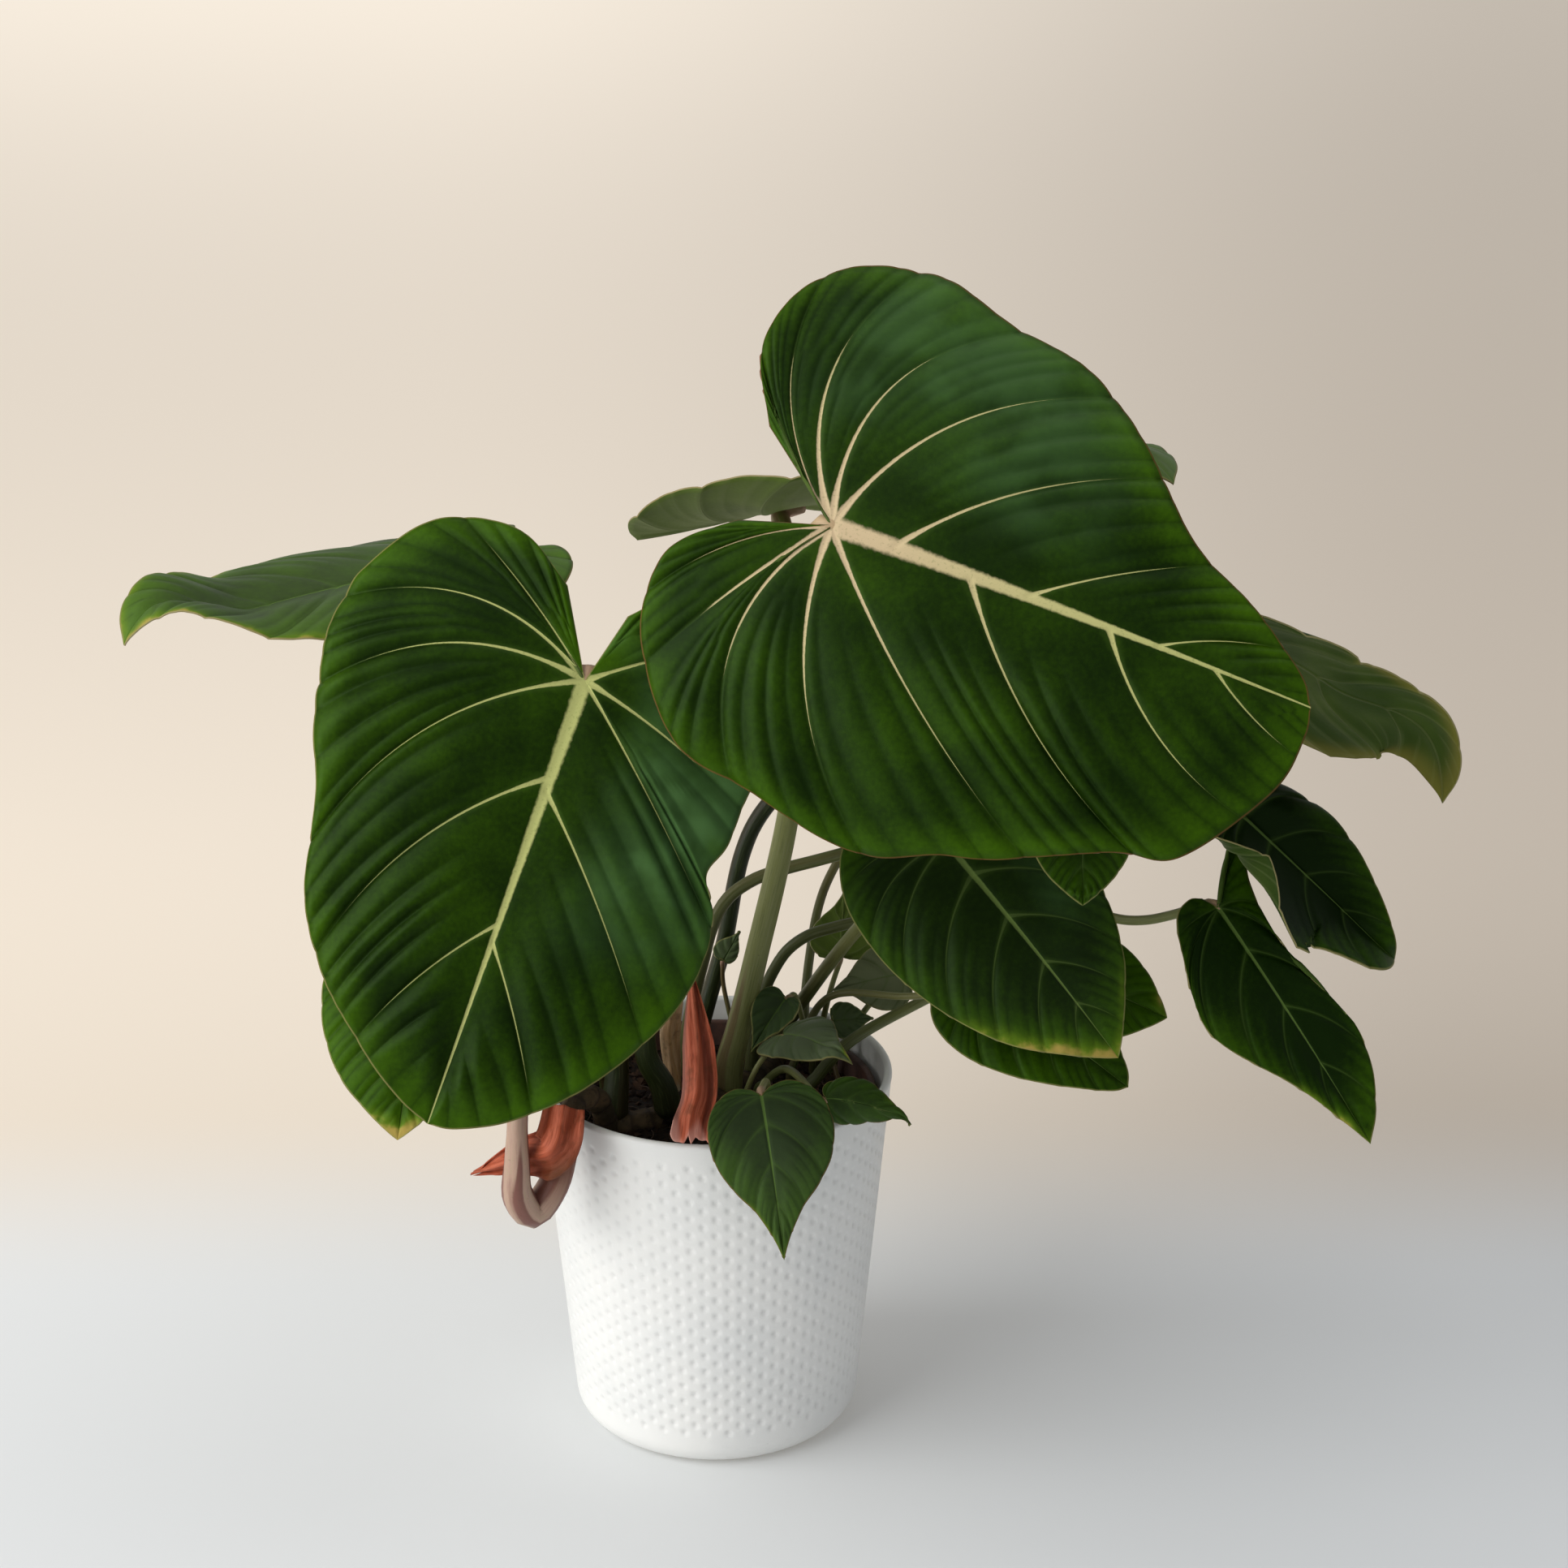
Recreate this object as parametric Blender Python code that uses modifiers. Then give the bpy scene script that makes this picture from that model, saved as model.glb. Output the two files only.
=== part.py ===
"""Potted philodendron: a creeping, velvet-leaved plant in a nursery pot inside a round cover pot.

Metres, +Z up. The origin is the centre of the cover pot's flat foot, -Y is the front.
"""

import math
from collections import namedtuple

import bmesh
import bpy
import numpy as np
from mathutils import Vector

# ---------------------------------------------------------------- driving dimensions

POT_HEIGHT = 0.180
POT_RIM_RADIUS = 0.085
POT_SIDE_RADIUS = 0.0695  # where the side runs into the rounded foot
POT_FOOT_ROUNDING = 0.0135
POT_WALL = 0.004
POT_FLOOR = 0.005
POT_STEPS = 48

GAP = 0.0004  # air between neighbouring solids

GROW_POT_DROP = 0.010  # below the cover pot's rim
GROW_POT_CLEARANCE = 0.0030  # between the two walls at the rim
GROW_POT_WALL = 0.0014
GROW_POT_LIP = 0.0018  # how far the rolled rim stands out
GROW_POT_DRAIN_RADIUS = 0.009

SOIL_DROP = 0.023  # below the cover pot's rim, at the nursery pot's wall
SOIL_CROWN = 0.003  # how much higher the middle is

LEAF_THICKNESS = 0.0014
SHEATH_THICKNESS = 0.0012

RHIZOME_RADIUS = 0.0075
RHIZOME_DEPTH = 0.0015  # its axis lies this far below the soil line

# Half outlines of a leaf, from the back of the lobe round to just before the tip:
# (across, along) in lengths of the midrib.
DEEP_HEART = (
    (0.07, -0.20), (0.18, -0.28), (0.34, -0.26), (0.48, -0.14), (0.54, 0.06),
    (0.51, 0.28), (0.42, 0.50), (0.28, 0.72), (0.11, 0.93),
)
BROAD_HEART = (
    (0.07, -0.18), (0.20, -0.25), (0.38, -0.21), (0.51, -0.06), (0.55, 0.14),
    (0.53, 0.34), (0.46, 0.54), (0.34, 0.73), (0.16, 0.89), (0.05, 0.97),
)
YOUNG_HEART = (
    (0.05, -0.04), (0.17, -0.06), (0.29, -0.01), (0.37, 0.12), (0.38, 0.27),
    (0.34, 0.43), (0.25, 0.58), (0.14, 0.71), (0.05, 0.87),
)
SLIM_LEFT = (
    (0.03, -0.06), (0.08, -0.08), (0.16, -0.04), (0.24, 0.14), (0.29, 0.31),
    (0.27, 0.43), (0.20, 0.56), (0.12, 0.70), (0.05, 0.87),
)
SLIM_RIGHT = (
    (0.06, -0.06), (0.13, -0.13), (0.20, -0.19), (0.20, -0.12), (0.15, -0.02),
    (0.12, 0.15), (0.12, 0.32), (0.16, 0.50), (0.18, 0.63), (0.15, 0.77), (0.08, 0.91),
)
TOP_RIGHT_UPPER = (
    (0.14, -0.19), (0.30, -0.27), (0.48, -0.21), (0.545, -0.02), (0.50, 0.16),
    (0.45, 0.37), (0.34, 0.53), (0.21, 0.67), (0.13, 0.83), (0.05, 0.96),
)
TOP_RIGHT_LOWER = (
    (0.05, -0.18), (0.16, -0.29), (0.33, -0.28), (0.50, -0.14), (0.54, 0.04),
    (0.58, 0.28), (0.51, 0.50), (0.40, 0.74), (0.36, 0.87), (0.18, 0.99), (0.06, 1.01),
)
FRONT_LEFT_LEFT = (
    (0.10, -0.18), (0.24, -0.26), (0.42, -0.22), (0.54, -0.02), (0.53, 0.18),
    (0.45, 0.42), (0.40, 0.62), (0.31, 0.77), (0.17, 0.90), (0.07, 0.97),
)
FRONT_LEFT_RIGHT = (
    (0.04, -0.16), (0.15, -0.25), (0.30, -0.17), (0.40, 0.01), (0.40, 0.24),
    (0.43, 0.47), (0.39, 0.65), (0.29, 0.81), (0.17, 0.93), (0.06, 0.99),
)

Leaf = namedtuple(
    "Leaf",
    "base tip facing left right width arch fold curl roll hook twist size",
    defaults=(DEEP_HEART, DEEP_HEART, (1, 1), 0.05, (0, 0), (0, 0), (0, 0), 0, 0, "large"),
)
# base and tip end the midrib, facing is the upper side. left and right are the half outlines, and
# width stretches each. arch bows the midrib up. fold is how far each half stands up from the
# midrib, and curl how much more it turns for each midrib length across, in degrees. roll is more
# curl by the lobe, which fades to the tip. hook bends the tip back down, in lengths of the midrib.
# twist turns the tip about the midrib, in degrees.
# Left and right are as seen from above with the tip pointing down.

LEAVES = {
    "top_right": Leaf(
        (0.051, -0.095, 0.476), (0.249, -0.144, 0.410), (-0.05, -0.87, 0.50),
        TOP_RIGHT_LOWER, TOP_RIGHT_UPPER, width=(1.02, 1.05), arch=0.03, fold=(3, 5), curl=(-45, -40),
    ),
    "front_left": Leaf(
        (-0.055, -0.075, 0.401), (-0.124, -0.150, 0.225), (0.06, -0.90, 0.40),
        FRONT_LEFT_LEFT, FRONT_LEFT_RIGHT, width=(1.03, 1.02), arch=0.03, fold=(4, 4), curl=(-45, -36),
    ),
    "far_left": Leaf(
        (-0.1214, 0.0450, 0.4190), (-0.2622, -0.0272, 0.4030), (0.01, 0.13, 0.99),
        width=(0.91, 0.89), arch=0.013, fold=(18, 11), curl=(-82, -100), hook=0.141, twist=-5,
    ),
    "low_left": Leaf(
        (-0.131, -0.031, 0.250), (-0.145, -0.077, 0.181), (-0.10, -0.90, 0.40),
        BROAD_HEART, BROAD_HEART, width=(1.05, 0.72), fold=(5, 5), curl=(-40, -40),
    ),
    "back": Leaf(
        (0.039, 0.120, 0.428), (0.212, 0.022, 0.461), (0.05, 0.52, 0.84),
        width=(1.04, 0.92), arch=0.029, fold=(-35, 24), curl=(76, -48), hook=0.12, twist=-5,
    ),
    "far_right": Leaf(
        (0.183, 0.030, 0.397), (0.336, -0.023, 0.321), (0.24, -0.04, 0.94),
        width=(0.83, 1.01), arch=0.138, fold=(22, -33), curl=(-29, 0), hook=0.14, twist=-26,
    ),
    "right": Leaf(
        (0.246, -0.013, 0.311), (0.318, -0.026, 0.244), (-0.23, -0.87, 0.37),
        BROAD_HEART, DEEP_HEART, width=(1.07, 0.64), arch=-0.045, fold=(36, 9), curl=(19, -29),
        roll=(158, -346), hook=0.12, twist=-20, size="medium",
    ),
    "low_right": Leaf(
        (0.233, -0.033, 0.274), (0.300, -0.083, 0.177), (0.10, -0.85, 0.50),
        SLIM_LEFT, SLIM_RIGHT, arch=0.03, fold=(5, 2), curl=(-30, -10), size="medium",
    ),
    "middle": Leaf(
        (0.106, -0.040, 0.310), (0.182, -0.088, 0.224), (0.10, -0.85, 0.50),
        BROAD_HEART, BROAD_HEART, width=(0.84, 0.72), arch=0.04, fold=(6, 6), curl=(-45, -50),
    ),
    "behind_middle": Leaf(
        (0.152, 0.000, 0.234), (0.215, -0.010, 0.208), (0.10, -0.85, 0.50),
        BROAD_HEART, BROAD_HEART, width=(0.8, 0.72), fold=(5, 5), curl=(-40, -40), size="medium",
    ),
    "under_middle": Leaf(
        (0.130, -0.024, 0.229), (0.192, -0.052, 0.192), (0.10, -0.80, 0.60),
        width=(0.8, 0.8), fold=(5, 5), curl=(-40, -40), size="medium",
    ),
    "pleated": Leaf(
        (0.162, -0.075, 0.350), (0.163, -0.092, 0.300), (0.10, -0.90, 0.40),
        BROAD_HEART, BROAD_HEART, width=(0.9, 0.9), fold=(5, 5), curl=(-40, -40), size="medium",
    ),
    "over_rim": Leaf(
        (0.021, -0.081, 0.204), (0.0305, -0.121, 0.141), (0.05, -0.90, 0.42),
        YOUNG_HEART, YOUNG_HEART, width=(0.94, 1.08), arch=0.10, fold=(-5, 10), curl=(-20, -80),
        size="medium",
    ),
    "rim_right": Leaf(
        (0.0507, -0.0703, 0.1970), (0.0895, -0.0713, 0.1831), (0.06, -0.57, 0.82),
        YOUNG_HEART, YOUNG_HEART, width=(0.95, 0.97), arch=0.143, fold=(-51, -7), curl=(-93, -68),
        hook=0.118, twist=16, size="small",
    ),
    "young_grey": Leaf(
        (0.032, -0.015, 0.204), (0.064, -0.050, 0.204), (0.10, -0.61, 0.76),
        BROAD_HEART, YOUNG_HEART, width=(0.60, 1.00), arch=0.123, curl=(-28, -70), hook=0.14,
        size="small",
    ),
    "young_folded": Leaf(
        (0.034, 0.010, 0.211), (0.017, -0.006, 0.190), (-0.30, -0.80, 0.50),
        YOUNG_HEART, YOUNG_HEART, fold=(25, 25), size="small",
    ),
    "young_right": Leaf(
        (0.092, 0.026, 0.217), (0.057, 0.030, 0.206), (0.00, -0.80, 0.60),
        YOUNG_HEART, YOUNG_HEART, width=(1.2, 1.2), curl=(-40, -40), size="small",
    ),
    "young_pale": Leaf(
        (0.062, 0.050, 0.216), (0.064, 0.060, 0.246), (0.00, 0.90, -0.30),
        YOUNG_HEART, YOUNG_HEART, width=(1.3, 1.3), curl=(-40, -40), size="small",
    ),
    "young_left": Leaf(
        (0.005, 0.050, 0.214), (0.013, 0.054, 0.228), (0.00, -0.90, 0.30),
        YOUNG_HEART, YOUNG_HEART, width=(0.8, 1.2), curl=(-40, -40), size="small",
    ),
    "young_back": Leaf(
        (0.058, 0.026, 0.192), (0.078, 0.030, 0.191), (0.00, -0.80, 0.60),
        YOUNG_HEART, YOUNG_HEART, width=(1.2, 1.2), curl=(-40, -40), size="small",
    ),
}

# Rows along the outline and columns across each half.
LEAF_CELLS = {"large": (14, 4), "medium": (10, 3), "small": (8, 2)}

STALK_POINTS = 12
STALK_FOOT = 0.006  # a stalk leaves the ground this far straight up
SHEATH_ROWS = 8

VEINS_FROM_BASE = 0.46  # share of the outline whose veins start at the base
VEIN_SWEEP = 0.16  # how far a vein sweeps back before it turns to the tip

Stalk = namedtuple("Stalk", "foot top points")
# Radius at the foot and at the blade, and the points that it passes, from the soil or the rhizome
# up. A first point without a height stands on whichever is there. The last point is worked out
# from its leaf.

STALKS = {
    "top_right": Stalk(0.0056, 0.0038, (
        (-0.022, -0.015), (-0.033, -0.018, 0.206), (-0.015, -0.020, 0.274), (0.010, -0.030, 0.330),
        (0.036, -0.062, 0.420),
    )),
    "front_left": Stalk(0.0056, 0.0040, (
        (-0.048, -0.017), (-0.046, -0.014, 0.191), (-0.050, -0.018, 0.283),
    )),
    "far_left": Stalk(0.0052, 0.0034, (
        (-0.0906, -0.0832, 0.1590), (-0.0901, -0.0820, 0.1849), (-0.0895, -0.0680, 0.2150),
        (-0.0920, -0.0300, 0.2750), (-0.1000, 0.0050, 0.3500), (-0.1130, 0.0300, 0.3950),
    )),
    "low_left": Stalk(0.0030, 0.0022, (
        (-0.052, 0.012), (-0.066, 0.000, 0.205), (-0.100, -0.016, 0.245),
    )),
    "back": Stalk(0.0062, 0.0040, (
        (0.006, 0.010), (0.018, 0.012, 0.223), (0.037, 0.022, 0.308), (0.041, 0.035, 0.378),
    )),
    "far_right": Stalk(0.0044, 0.0034, (
        (-0.010, 0.056), (0.004, 0.062, 0.213), (0.024, 0.064, 0.286), (0.090, 0.058, 0.340),
        (0.138, 0.048, 0.350), (0.180, 0.031, 0.370),
    )),
    "right": Stalk(0.0034, 0.0024, (
        (-0.016, 0.034), (-0.007, 0.032, 0.215), (0.010, 0.040, 0.254), (0.062, 0.036, 0.275),
        (0.160, 0.030, 0.302), (0.226, 0.006, 0.302),
    )),
    "low_right": Stalk(0.0030, 0.0022, (
        (0.018, 0.028), (0.023, 0.030, 0.202), (0.038, 0.030, 0.230), (0.066, 0.026, 0.243),
        (0.123, 0.028, 0.252), (0.160, 0.026, 0.254), (0.198, 0.000, 0.254),
    )),
    "middle": Stalk(0.0036, 0.0028, (
        (0.031, 0.054), (0.047, 0.036, 0.204), (0.068, 0.004, 0.249),
    )),
    "behind_middle": Stalk(0.0032, 0.0020, (
        (0.044, 0.004), (0.064, 0.002, 0.191), (0.098, 0.014, 0.206), (0.128, 0.012, 0.222),
    )),
    "under_middle": Stalk(0.0020, 0.0016, (
        (0.036, 0.020), (0.054, 0.018, 0.207), (0.092, 0.000, 0.216),
    )),
    "pleated": Stalk(0.0024, 0.0018, (
        (0.044, 0.052), (0.046, 0.060, 0.200), (0.056, 0.073, 0.245), (0.085, 0.050, 0.300),
        (0.120, 0.012, 0.340), (0.150, -0.042, 0.356),
    )),
    "over_rim": Stalk(0.0020, 0.0015, (
        (0.026, -0.032), (0.024, -0.056, 0.198),
    )),
    "rim_right": Stalk(0.0022, 0.0016, (
        (0.020, 0.004), (0.034, -0.016, 0.186),
    )),
    "young_grey": Stalk(0.0016, 0.0011, (
        (0.012, -0.016), (0.020, -0.022, 0.190),
    )),
    "young_folded": Stalk(0.0016, 0.0011, (
        (0.048, 0.036), (0.040, 0.022, 0.205),
    )),
    "young_right": Stalk(0.0018, 0.0013, (
        (0.058, 0.036), (0.076, 0.036, 0.196),
    )),
    "young_pale": Stalk(0.0018, 0.0012, (
        (0.050, 0.048), (0.056, 0.044, 0.196),
    )),
    "young_left": Stalk(0.0014, 0.0010, (
        (0.012, 0.050), (0.005, 0.055, 0.196),
    )),
    "young_back": Stalk(0.0014, 0.0010, (
        (0.060, 0.016), (0.056, 0.026, 0.178),
    )),
}

# The rhizome creeps through the top of the soil, and one side shoot hangs over the rim.
RHIZOME_PATH = ((-0.058, -0.020), (-0.036, -0.018), (-0.010, -0.006), (0.012, 0.018), (0.026, 0.045),
                (0.034, 0.062))
SHOOT_PATH = (
    (-0.0500, -0.0420, 0.1650), (-0.0535, -0.0455, 0.1830), (-0.0600, -0.0525, 0.1905),
    (-0.0655, -0.0600, 0.1880), (-0.0680, -0.0660, 0.1775), (-0.0731, -0.0715, 0.1587),
    (-0.0801, -0.0745, 0.1453), (-0.0866, -0.0785, 0.1441), (-0.0900, -0.0815, 0.1520),
)
SHOOT_RADII = (0.0050, 0.0054, 0.0056, 0.0056, 0.0060, 0.0072, 0.0076, 0.0070, 0.0058)

Sheath = namedtuple("Sheath", "points widths facing trough")
# A papery bract: its middle line, its width at each point, its upper side and how far each half
# stands up from the middle, in degrees.

SHEATHS = {
    "red_front": Sheath(
        ((-0.0104, -0.0320, 0.2405), (-0.0084, -0.0470, 0.2256), (-0.0070, -0.0590, 0.2114),
         (-0.0071, -0.0710, 0.2011), (-0.0100, -0.0810, 0.1938), (-0.0116, -0.0885, 0.1852)),
        (0.0030, 0.0125, 0.0165, 0.0165, 0.0170, 0.0175), (0.00, -0.60, 0.80), -15,
    ),
    "tan_dry": Sheath(
        ((-0.0180, -0.0040, 0.2174), (-0.0210, -0.0020, 0.2001), (-0.0203, 0.0010, 0.1821),
         (-0.0185, 0.0040, 0.1640)),
        (0.0066, 0.0110, 0.0095, 0.0060), (0.00, -0.80, 0.60), -25,
    ),
    "red_over_rim": Sheath(
        ((-0.0696, -0.0745, 0.1920), (-0.0712, -0.0835, 0.1834), (-0.0766, -0.0845, 0.1758),
         (-0.0883, -0.0760, 0.1702), (-0.1100, -0.0720, 0.1614)),
        (0.0200, 0.0230, 0.0250, 0.0150, 0.0020), (0.05, -0.95, 0.25), -20,
    ),
}


# ---------------------------------------------------------------- shared geometry

def smooth_path(points, count):
    """Evenly spaced points on a smooth curve that passes through the given ones."""
    knots = np.array(points, float)
    knots = np.vstack([2 * knots[0] - knots[1], knots, 2 * knots[-1] - knots[-2]])
    fine = []
    for a, b, c, d in zip(knots, knots[1:], knots[2:], knots[3:]):
        for u in np.linspace(0, 1, 12, endpoint=False):
            curve = 2 * b + (c - a) * u + (2 * a - 5 * b + 4 * c - d) * u**2
            fine.append((curve + (3 * b - a - 3 * c + d) * u**3) / 2)
    fine.append(knots[-2])
    fine = np.array(fine)
    run = np.append(0, np.cumsum(np.linalg.norm(np.diff(fine, axis=0), axis=1)))
    steps = np.linspace(0, run[-1], count)
    return np.stack([np.interp(steps, run, column) for column in fine.T], axis=1)


def pot_side_radius(height):
    """Outer radius of the cover pot's straight side at a height."""
    share = (height - POT_FOOT_ROUNDING) / (POT_HEIGHT - POT_FOOT_ROUNDING)
    return POT_SIDE_RADIUS + (POT_RIM_RADIUS - POT_SIDE_RADIUS) * share


def soil_height(x, y):
    """Height of the soil, which crowns a little in the middle."""
    reach = min(1.0, math.hypot(x, y) / POT_RIM_RADIUS)
    return POT_HEIGHT - SOIL_DROP + SOIL_CROWN * (1 - reach**2)


def rhizome_points(count, overrun=0.0):
    """Points along the rhizome's axis, which may run on past both its ends."""
    path = smooth_path(RHIZOME_PATH, count)
    for end, inner in ((0, 1), (-1, -2)):
        step = path[end] - path[inner]
        path[end] = path[end] + step / np.linalg.norm(step) * overrun
    return [Vector((x, y, soil_height(x, y) - RHIZOME_DEPTH)) for x, y in path]


def ground_height(x, y):
    """Where a stalk stands: on the rhizome if it is there, and on the soil otherwise."""
    nearest = min(math.hypot(x - p.x, y - p.y) for p in rhizome_points(60))
    if nearest < RHIZOME_RADIUS:
        return soil_height(x, y) - RHIZOME_DEPTH + RHIZOME_RADIUS + GAP
    return soil_height(x, y) + GAP


class Blade:
    """The mid surface of one leaf."""

    def __init__(self, leaf):
        self.leaf = leaf
        self.base = Vector(leaf.base)
        span = Vector(leaf.tip) - self.base
        self.length = span.length
        self.along = span.normalized()
        facing = Vector(leaf.facing)
        self.facing = (facing - self.along * facing.dot(self.along)).normalized()
        self.across = self.facing.cross(self.along)
        self.outlines = {}
        for side, half, width in ((-1, leaf.left, leaf.width[0]), (1, leaf.right, leaf.width[1])):
            stretched = [(a * width, b) for a, b in half]
            self.outlines[side] = smooth_path(stretched + [(0.0, 1.0)], 60)

    def edge(self, side, share):
        """(across, along) of the margin at a share of the way from lobe to tip."""
        outline = self.outlines[side]
        steps = np.linspace(0, 1, len(outline))
        return np.array([np.interp(share, steps, column) for column in outline.T])

    def rib(self, b):
        """Height and slope of the midrib."""
        height = 4 * self.leaf.arch * b * (1 - b)
        slope = 4 * self.leaf.arch * (1 - 2 * b)
        late = max(0.0, (b - 0.6) / 0.4)
        # The tip stays in place, and the midrib before it rises instead.
        height += 4 * self.leaf.hook * late**2 * (1 - late)
        slope += 4 * self.leaf.hook * (2 * late - 3 * late**2) / 0.4
        return height, slope

    def point(self, side, t, share):
        """World point at t from midrib to margin, along the vein that ends at that share."""
        late = max(0.0, (share - VEINS_FROM_BASE) / (1 - VEINS_FROM_BASE))
        start = np.array([0.0, late**1.1])
        end = self.edge(side, share)
        reach = np.linalg.norm(end - start)
        ramp = min(1.0, share / 0.25)
        control = (start + end) / 2 - np.array([0.0, VEIN_SWEEP * reach * ramp])
        a, b = start * (1 - t) ** 2 + 2 * control * t * (1 - t) + end * t**2
        index = 0 if side < 0 else 1
        fade = (1 - min(1.0, max(0.0, b))) ** 2
        bend = math.radians(self.leaf.curl[index] + self.leaf.roll[index] * fade) * a
        start_angle = math.radians(self.leaf.fold[index])
        chord = a * math.sin(bend / 2) / (bend / 2) if abs(bend) > 0.001 else a
        angle = start_angle + bend / 2
        height, slope = self.rib(b)
        tilt = math.atan(slope)
        up = self.facing * math.cos(tilt) - self.along * math.sin(tilt)
        turn = math.radians(self.leaf.twist) * b
        across = self.across * math.cos(turn) + up * math.sin(turn)
        up = up * math.cos(turn) - self.across * math.sin(turn)
        spot = self.base + (self.along * b + self.facing * height) * self.length
        return spot + (across * side * math.cos(angle) + up * math.sin(angle)) * chord * self.length


# ---------------------------------------------------------------- scene helpers

def clear_scene():
    for obj in list(bpy.data.objects):
        bpy.data.objects.remove(obj, do_unlink=True)


def new_collection(name, shown):
    collection = bpy.data.collections.new(name)
    collection.hide_render = not shown
    bpy.context.scene.collection.children.link(collection)
    return collection


def material(name, color, roughness, metallic=0.0):
    made = bpy.data.materials.new(name)
    made.use_nodes = True
    shader = made.node_tree.nodes["Principled BSDF"]
    shader.inputs["Base Color"].default_value = (*color, 1.0)
    shader.inputs["Roughness"].default_value = roughness
    shader.inputs["Metallic"].default_value = metallic
    return made


def add_object(name, data, collection, finish):
    obj = bpy.data.objects.new(name, data)
    obj.data.materials.append(finish)
    collection.objects.link(obj)
    return obj


def turned(name, profile, steps, collection, finish):
    """A solid of revolution about Z, from (radius, height) points that run down its outer side."""
    mesh = bpy.data.meshes.new(name)
    outline = bmesh.new()
    points = [outline.verts.new((radius, 0.0, height)) for radius, height in profile]
    for start, end in zip(points, points[1:]):
        outline.edges.new((start, end))
    outline.to_mesh(mesh)
    outline.free()
    obj = add_object(name, mesh, collection, finish)
    screw = obj.modifiers.new("Turn", "SCREW")
    screw.steps = screw.render_steps = steps
    screw.use_merge_vertices = True
    screw.merge_threshold = 0.00001
    screw.use_smooth_shade = True
    return obj


def tube(name, points, radii, collection, finish, resolution=2):
    """A round stem through the points, with its own radius at each of them."""
    curve = bpy.data.curves.new(name, "CURVE")
    curve.dimensions = "3D"
    curve.bevel_depth = 1.0
    curve.bevel_resolution = resolution
    curve.use_fill_caps = True
    spline = curve.splines.new("POLY")
    spline.points.add(len(points) - 1)
    for knot, point, radius in zip(spline.points, points, radii):
        knot.co = (*point, 1.0)
        knot.radius = radius
    return add_object(name, curve, collection, finish)


def meshed(curve):
    """The curve as a closed mesh, which a Boolean can cut with."""
    evaluated = curve.evaluated_get(bpy.context.evaluated_depsgraph_get())
    mesh = bpy.data.meshes.new_from_object(evaluated)
    welded = bmesh.new()
    welded.from_mesh(mesh)
    bmesh.ops.remove_doubles(welded, verts=welded.verts, dist=0.00001)
    bmesh.ops.recalc_face_normals(welded, faces=welded.faces)
    welded.to_mesh(mesh)
    welded.free()
    obj = bpy.data.objects.new(curve.name + "_mesh", mesh)
    obj.matrix_world = curve.matrix_world
    for collection in curve.users_collection:
        collection.objects.link(obj)
    bpy.data.objects.remove(curve, do_unlink=True)
    return obj


def arc(centre, radius, start, end, count):
    """(radius, height) points of a rounding, between two angles in degrees."""
    angles = [math.radians(start + (end - start) * i / count) for i in range(count + 1)]
    return [(centre[0] + radius * math.cos(a), centre[1] + radius * math.sin(a)) for a in angles]


# ---------------------------------------------------------------- the pots and the soil

def add_pot(collection):
    lip = POT_WALL / 2
    inner_foot = pot_side_radius(0) - POT_WALL
    profile = [(0.0, POT_FLOOR)]
    profile += arc((inner_foot - 0.008, POT_FLOOR + 0.008), 0.008, -90, -5, 3)
    profile += arc((POT_RIM_RADIUS - lip, POT_HEIGHT - lip), lip, 180, 0, 6)
    profile += arc(
        (POT_SIDE_RADIUS - POT_FOOT_ROUNDING, POT_FOOT_ROUNDING), POT_FOOT_ROUNDING, -4, -90, 6
    )
    profile += [(0.0, 0.0)]
    finish = material("glazed_white", (0.80, 0.80, 0.78), 0.38)
    return turned("cover_pot", profile, POT_STEPS, collection, finish)


def grow_pot_radius(height):
    """Outer radius of the nursery pot, which stays clear of the cover pot."""
    return pot_side_radius(height) - POT_WALL - GROW_POT_CLEARANCE - GROW_POT_LIP


def add_grow_pot(collection):
    top = POT_HEIGHT - GROW_POT_DROP
    bottom = POT_FLOOR + GAP
    wall = GROW_POT_WALL
    floor = bottom + 0.002
    corner = 0.004
    foot = grow_pot_radius(bottom) - 0.004
    profile = [
        (GROW_POT_DRAIN_RADIUS, bottom),
        (GROW_POT_DRAIN_RADIUS, floor),
        (foot - corner, floor),
        (foot, floor + corner),
        (grow_pot_radius(top) - wall, top),
        (grow_pot_radius(top) + GROW_POT_LIP, top),
        (grow_pot_radius(top) + GROW_POT_LIP, top - 0.005),
        (grow_pot_radius(top), top - 0.006),
        (foot + wall, bottom + corner),
        (foot - corner + wall, bottom),
        (GROW_POT_DRAIN_RADIUS, bottom),
    ]
    finish = material("terracotta_plastic", (0.20, 0.08, 0.05), 0.55)
    return turned("grow_pot", profile, POT_STEPS, collection, finish)


def add_soil(collection, trench):
    inside = GROW_POT_WALL + GAP
    foot = grow_pot_radius(0) - 0.004 - GAP
    floor = POT_FLOOR + GAP + 0.002 + GAP
    top = POT_HEIGHT - SOIL_DROP
    profile = [(0.0, soil_height(0, 0))]
    for share in (0.3, 0.6, 0.85):
        radius = share * (grow_pot_radius(top) - inside)
        profile.append((radius, soil_height(radius, 0)))
    profile += [
        (grow_pot_radius(top) - inside, top),
        (foot - 0.0005, floor + 0.005),
        (foot - 0.005, floor),
        (0.0, floor),
    ]
    finish = material("potting_mix", (0.035, 0.022, 0.014), 0.95)
    soil = turned("potting_mix", profile, POT_STEPS, collection, finish)
    cut = soil.modifiers.new("Rhizome trench", "BOOLEAN")
    cut.operation = "DIFFERENCE"
    cut.solver = "EXACT"
    cut.object = trench
    return soil


# ---------------------------------------------------------------- the plant

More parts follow.
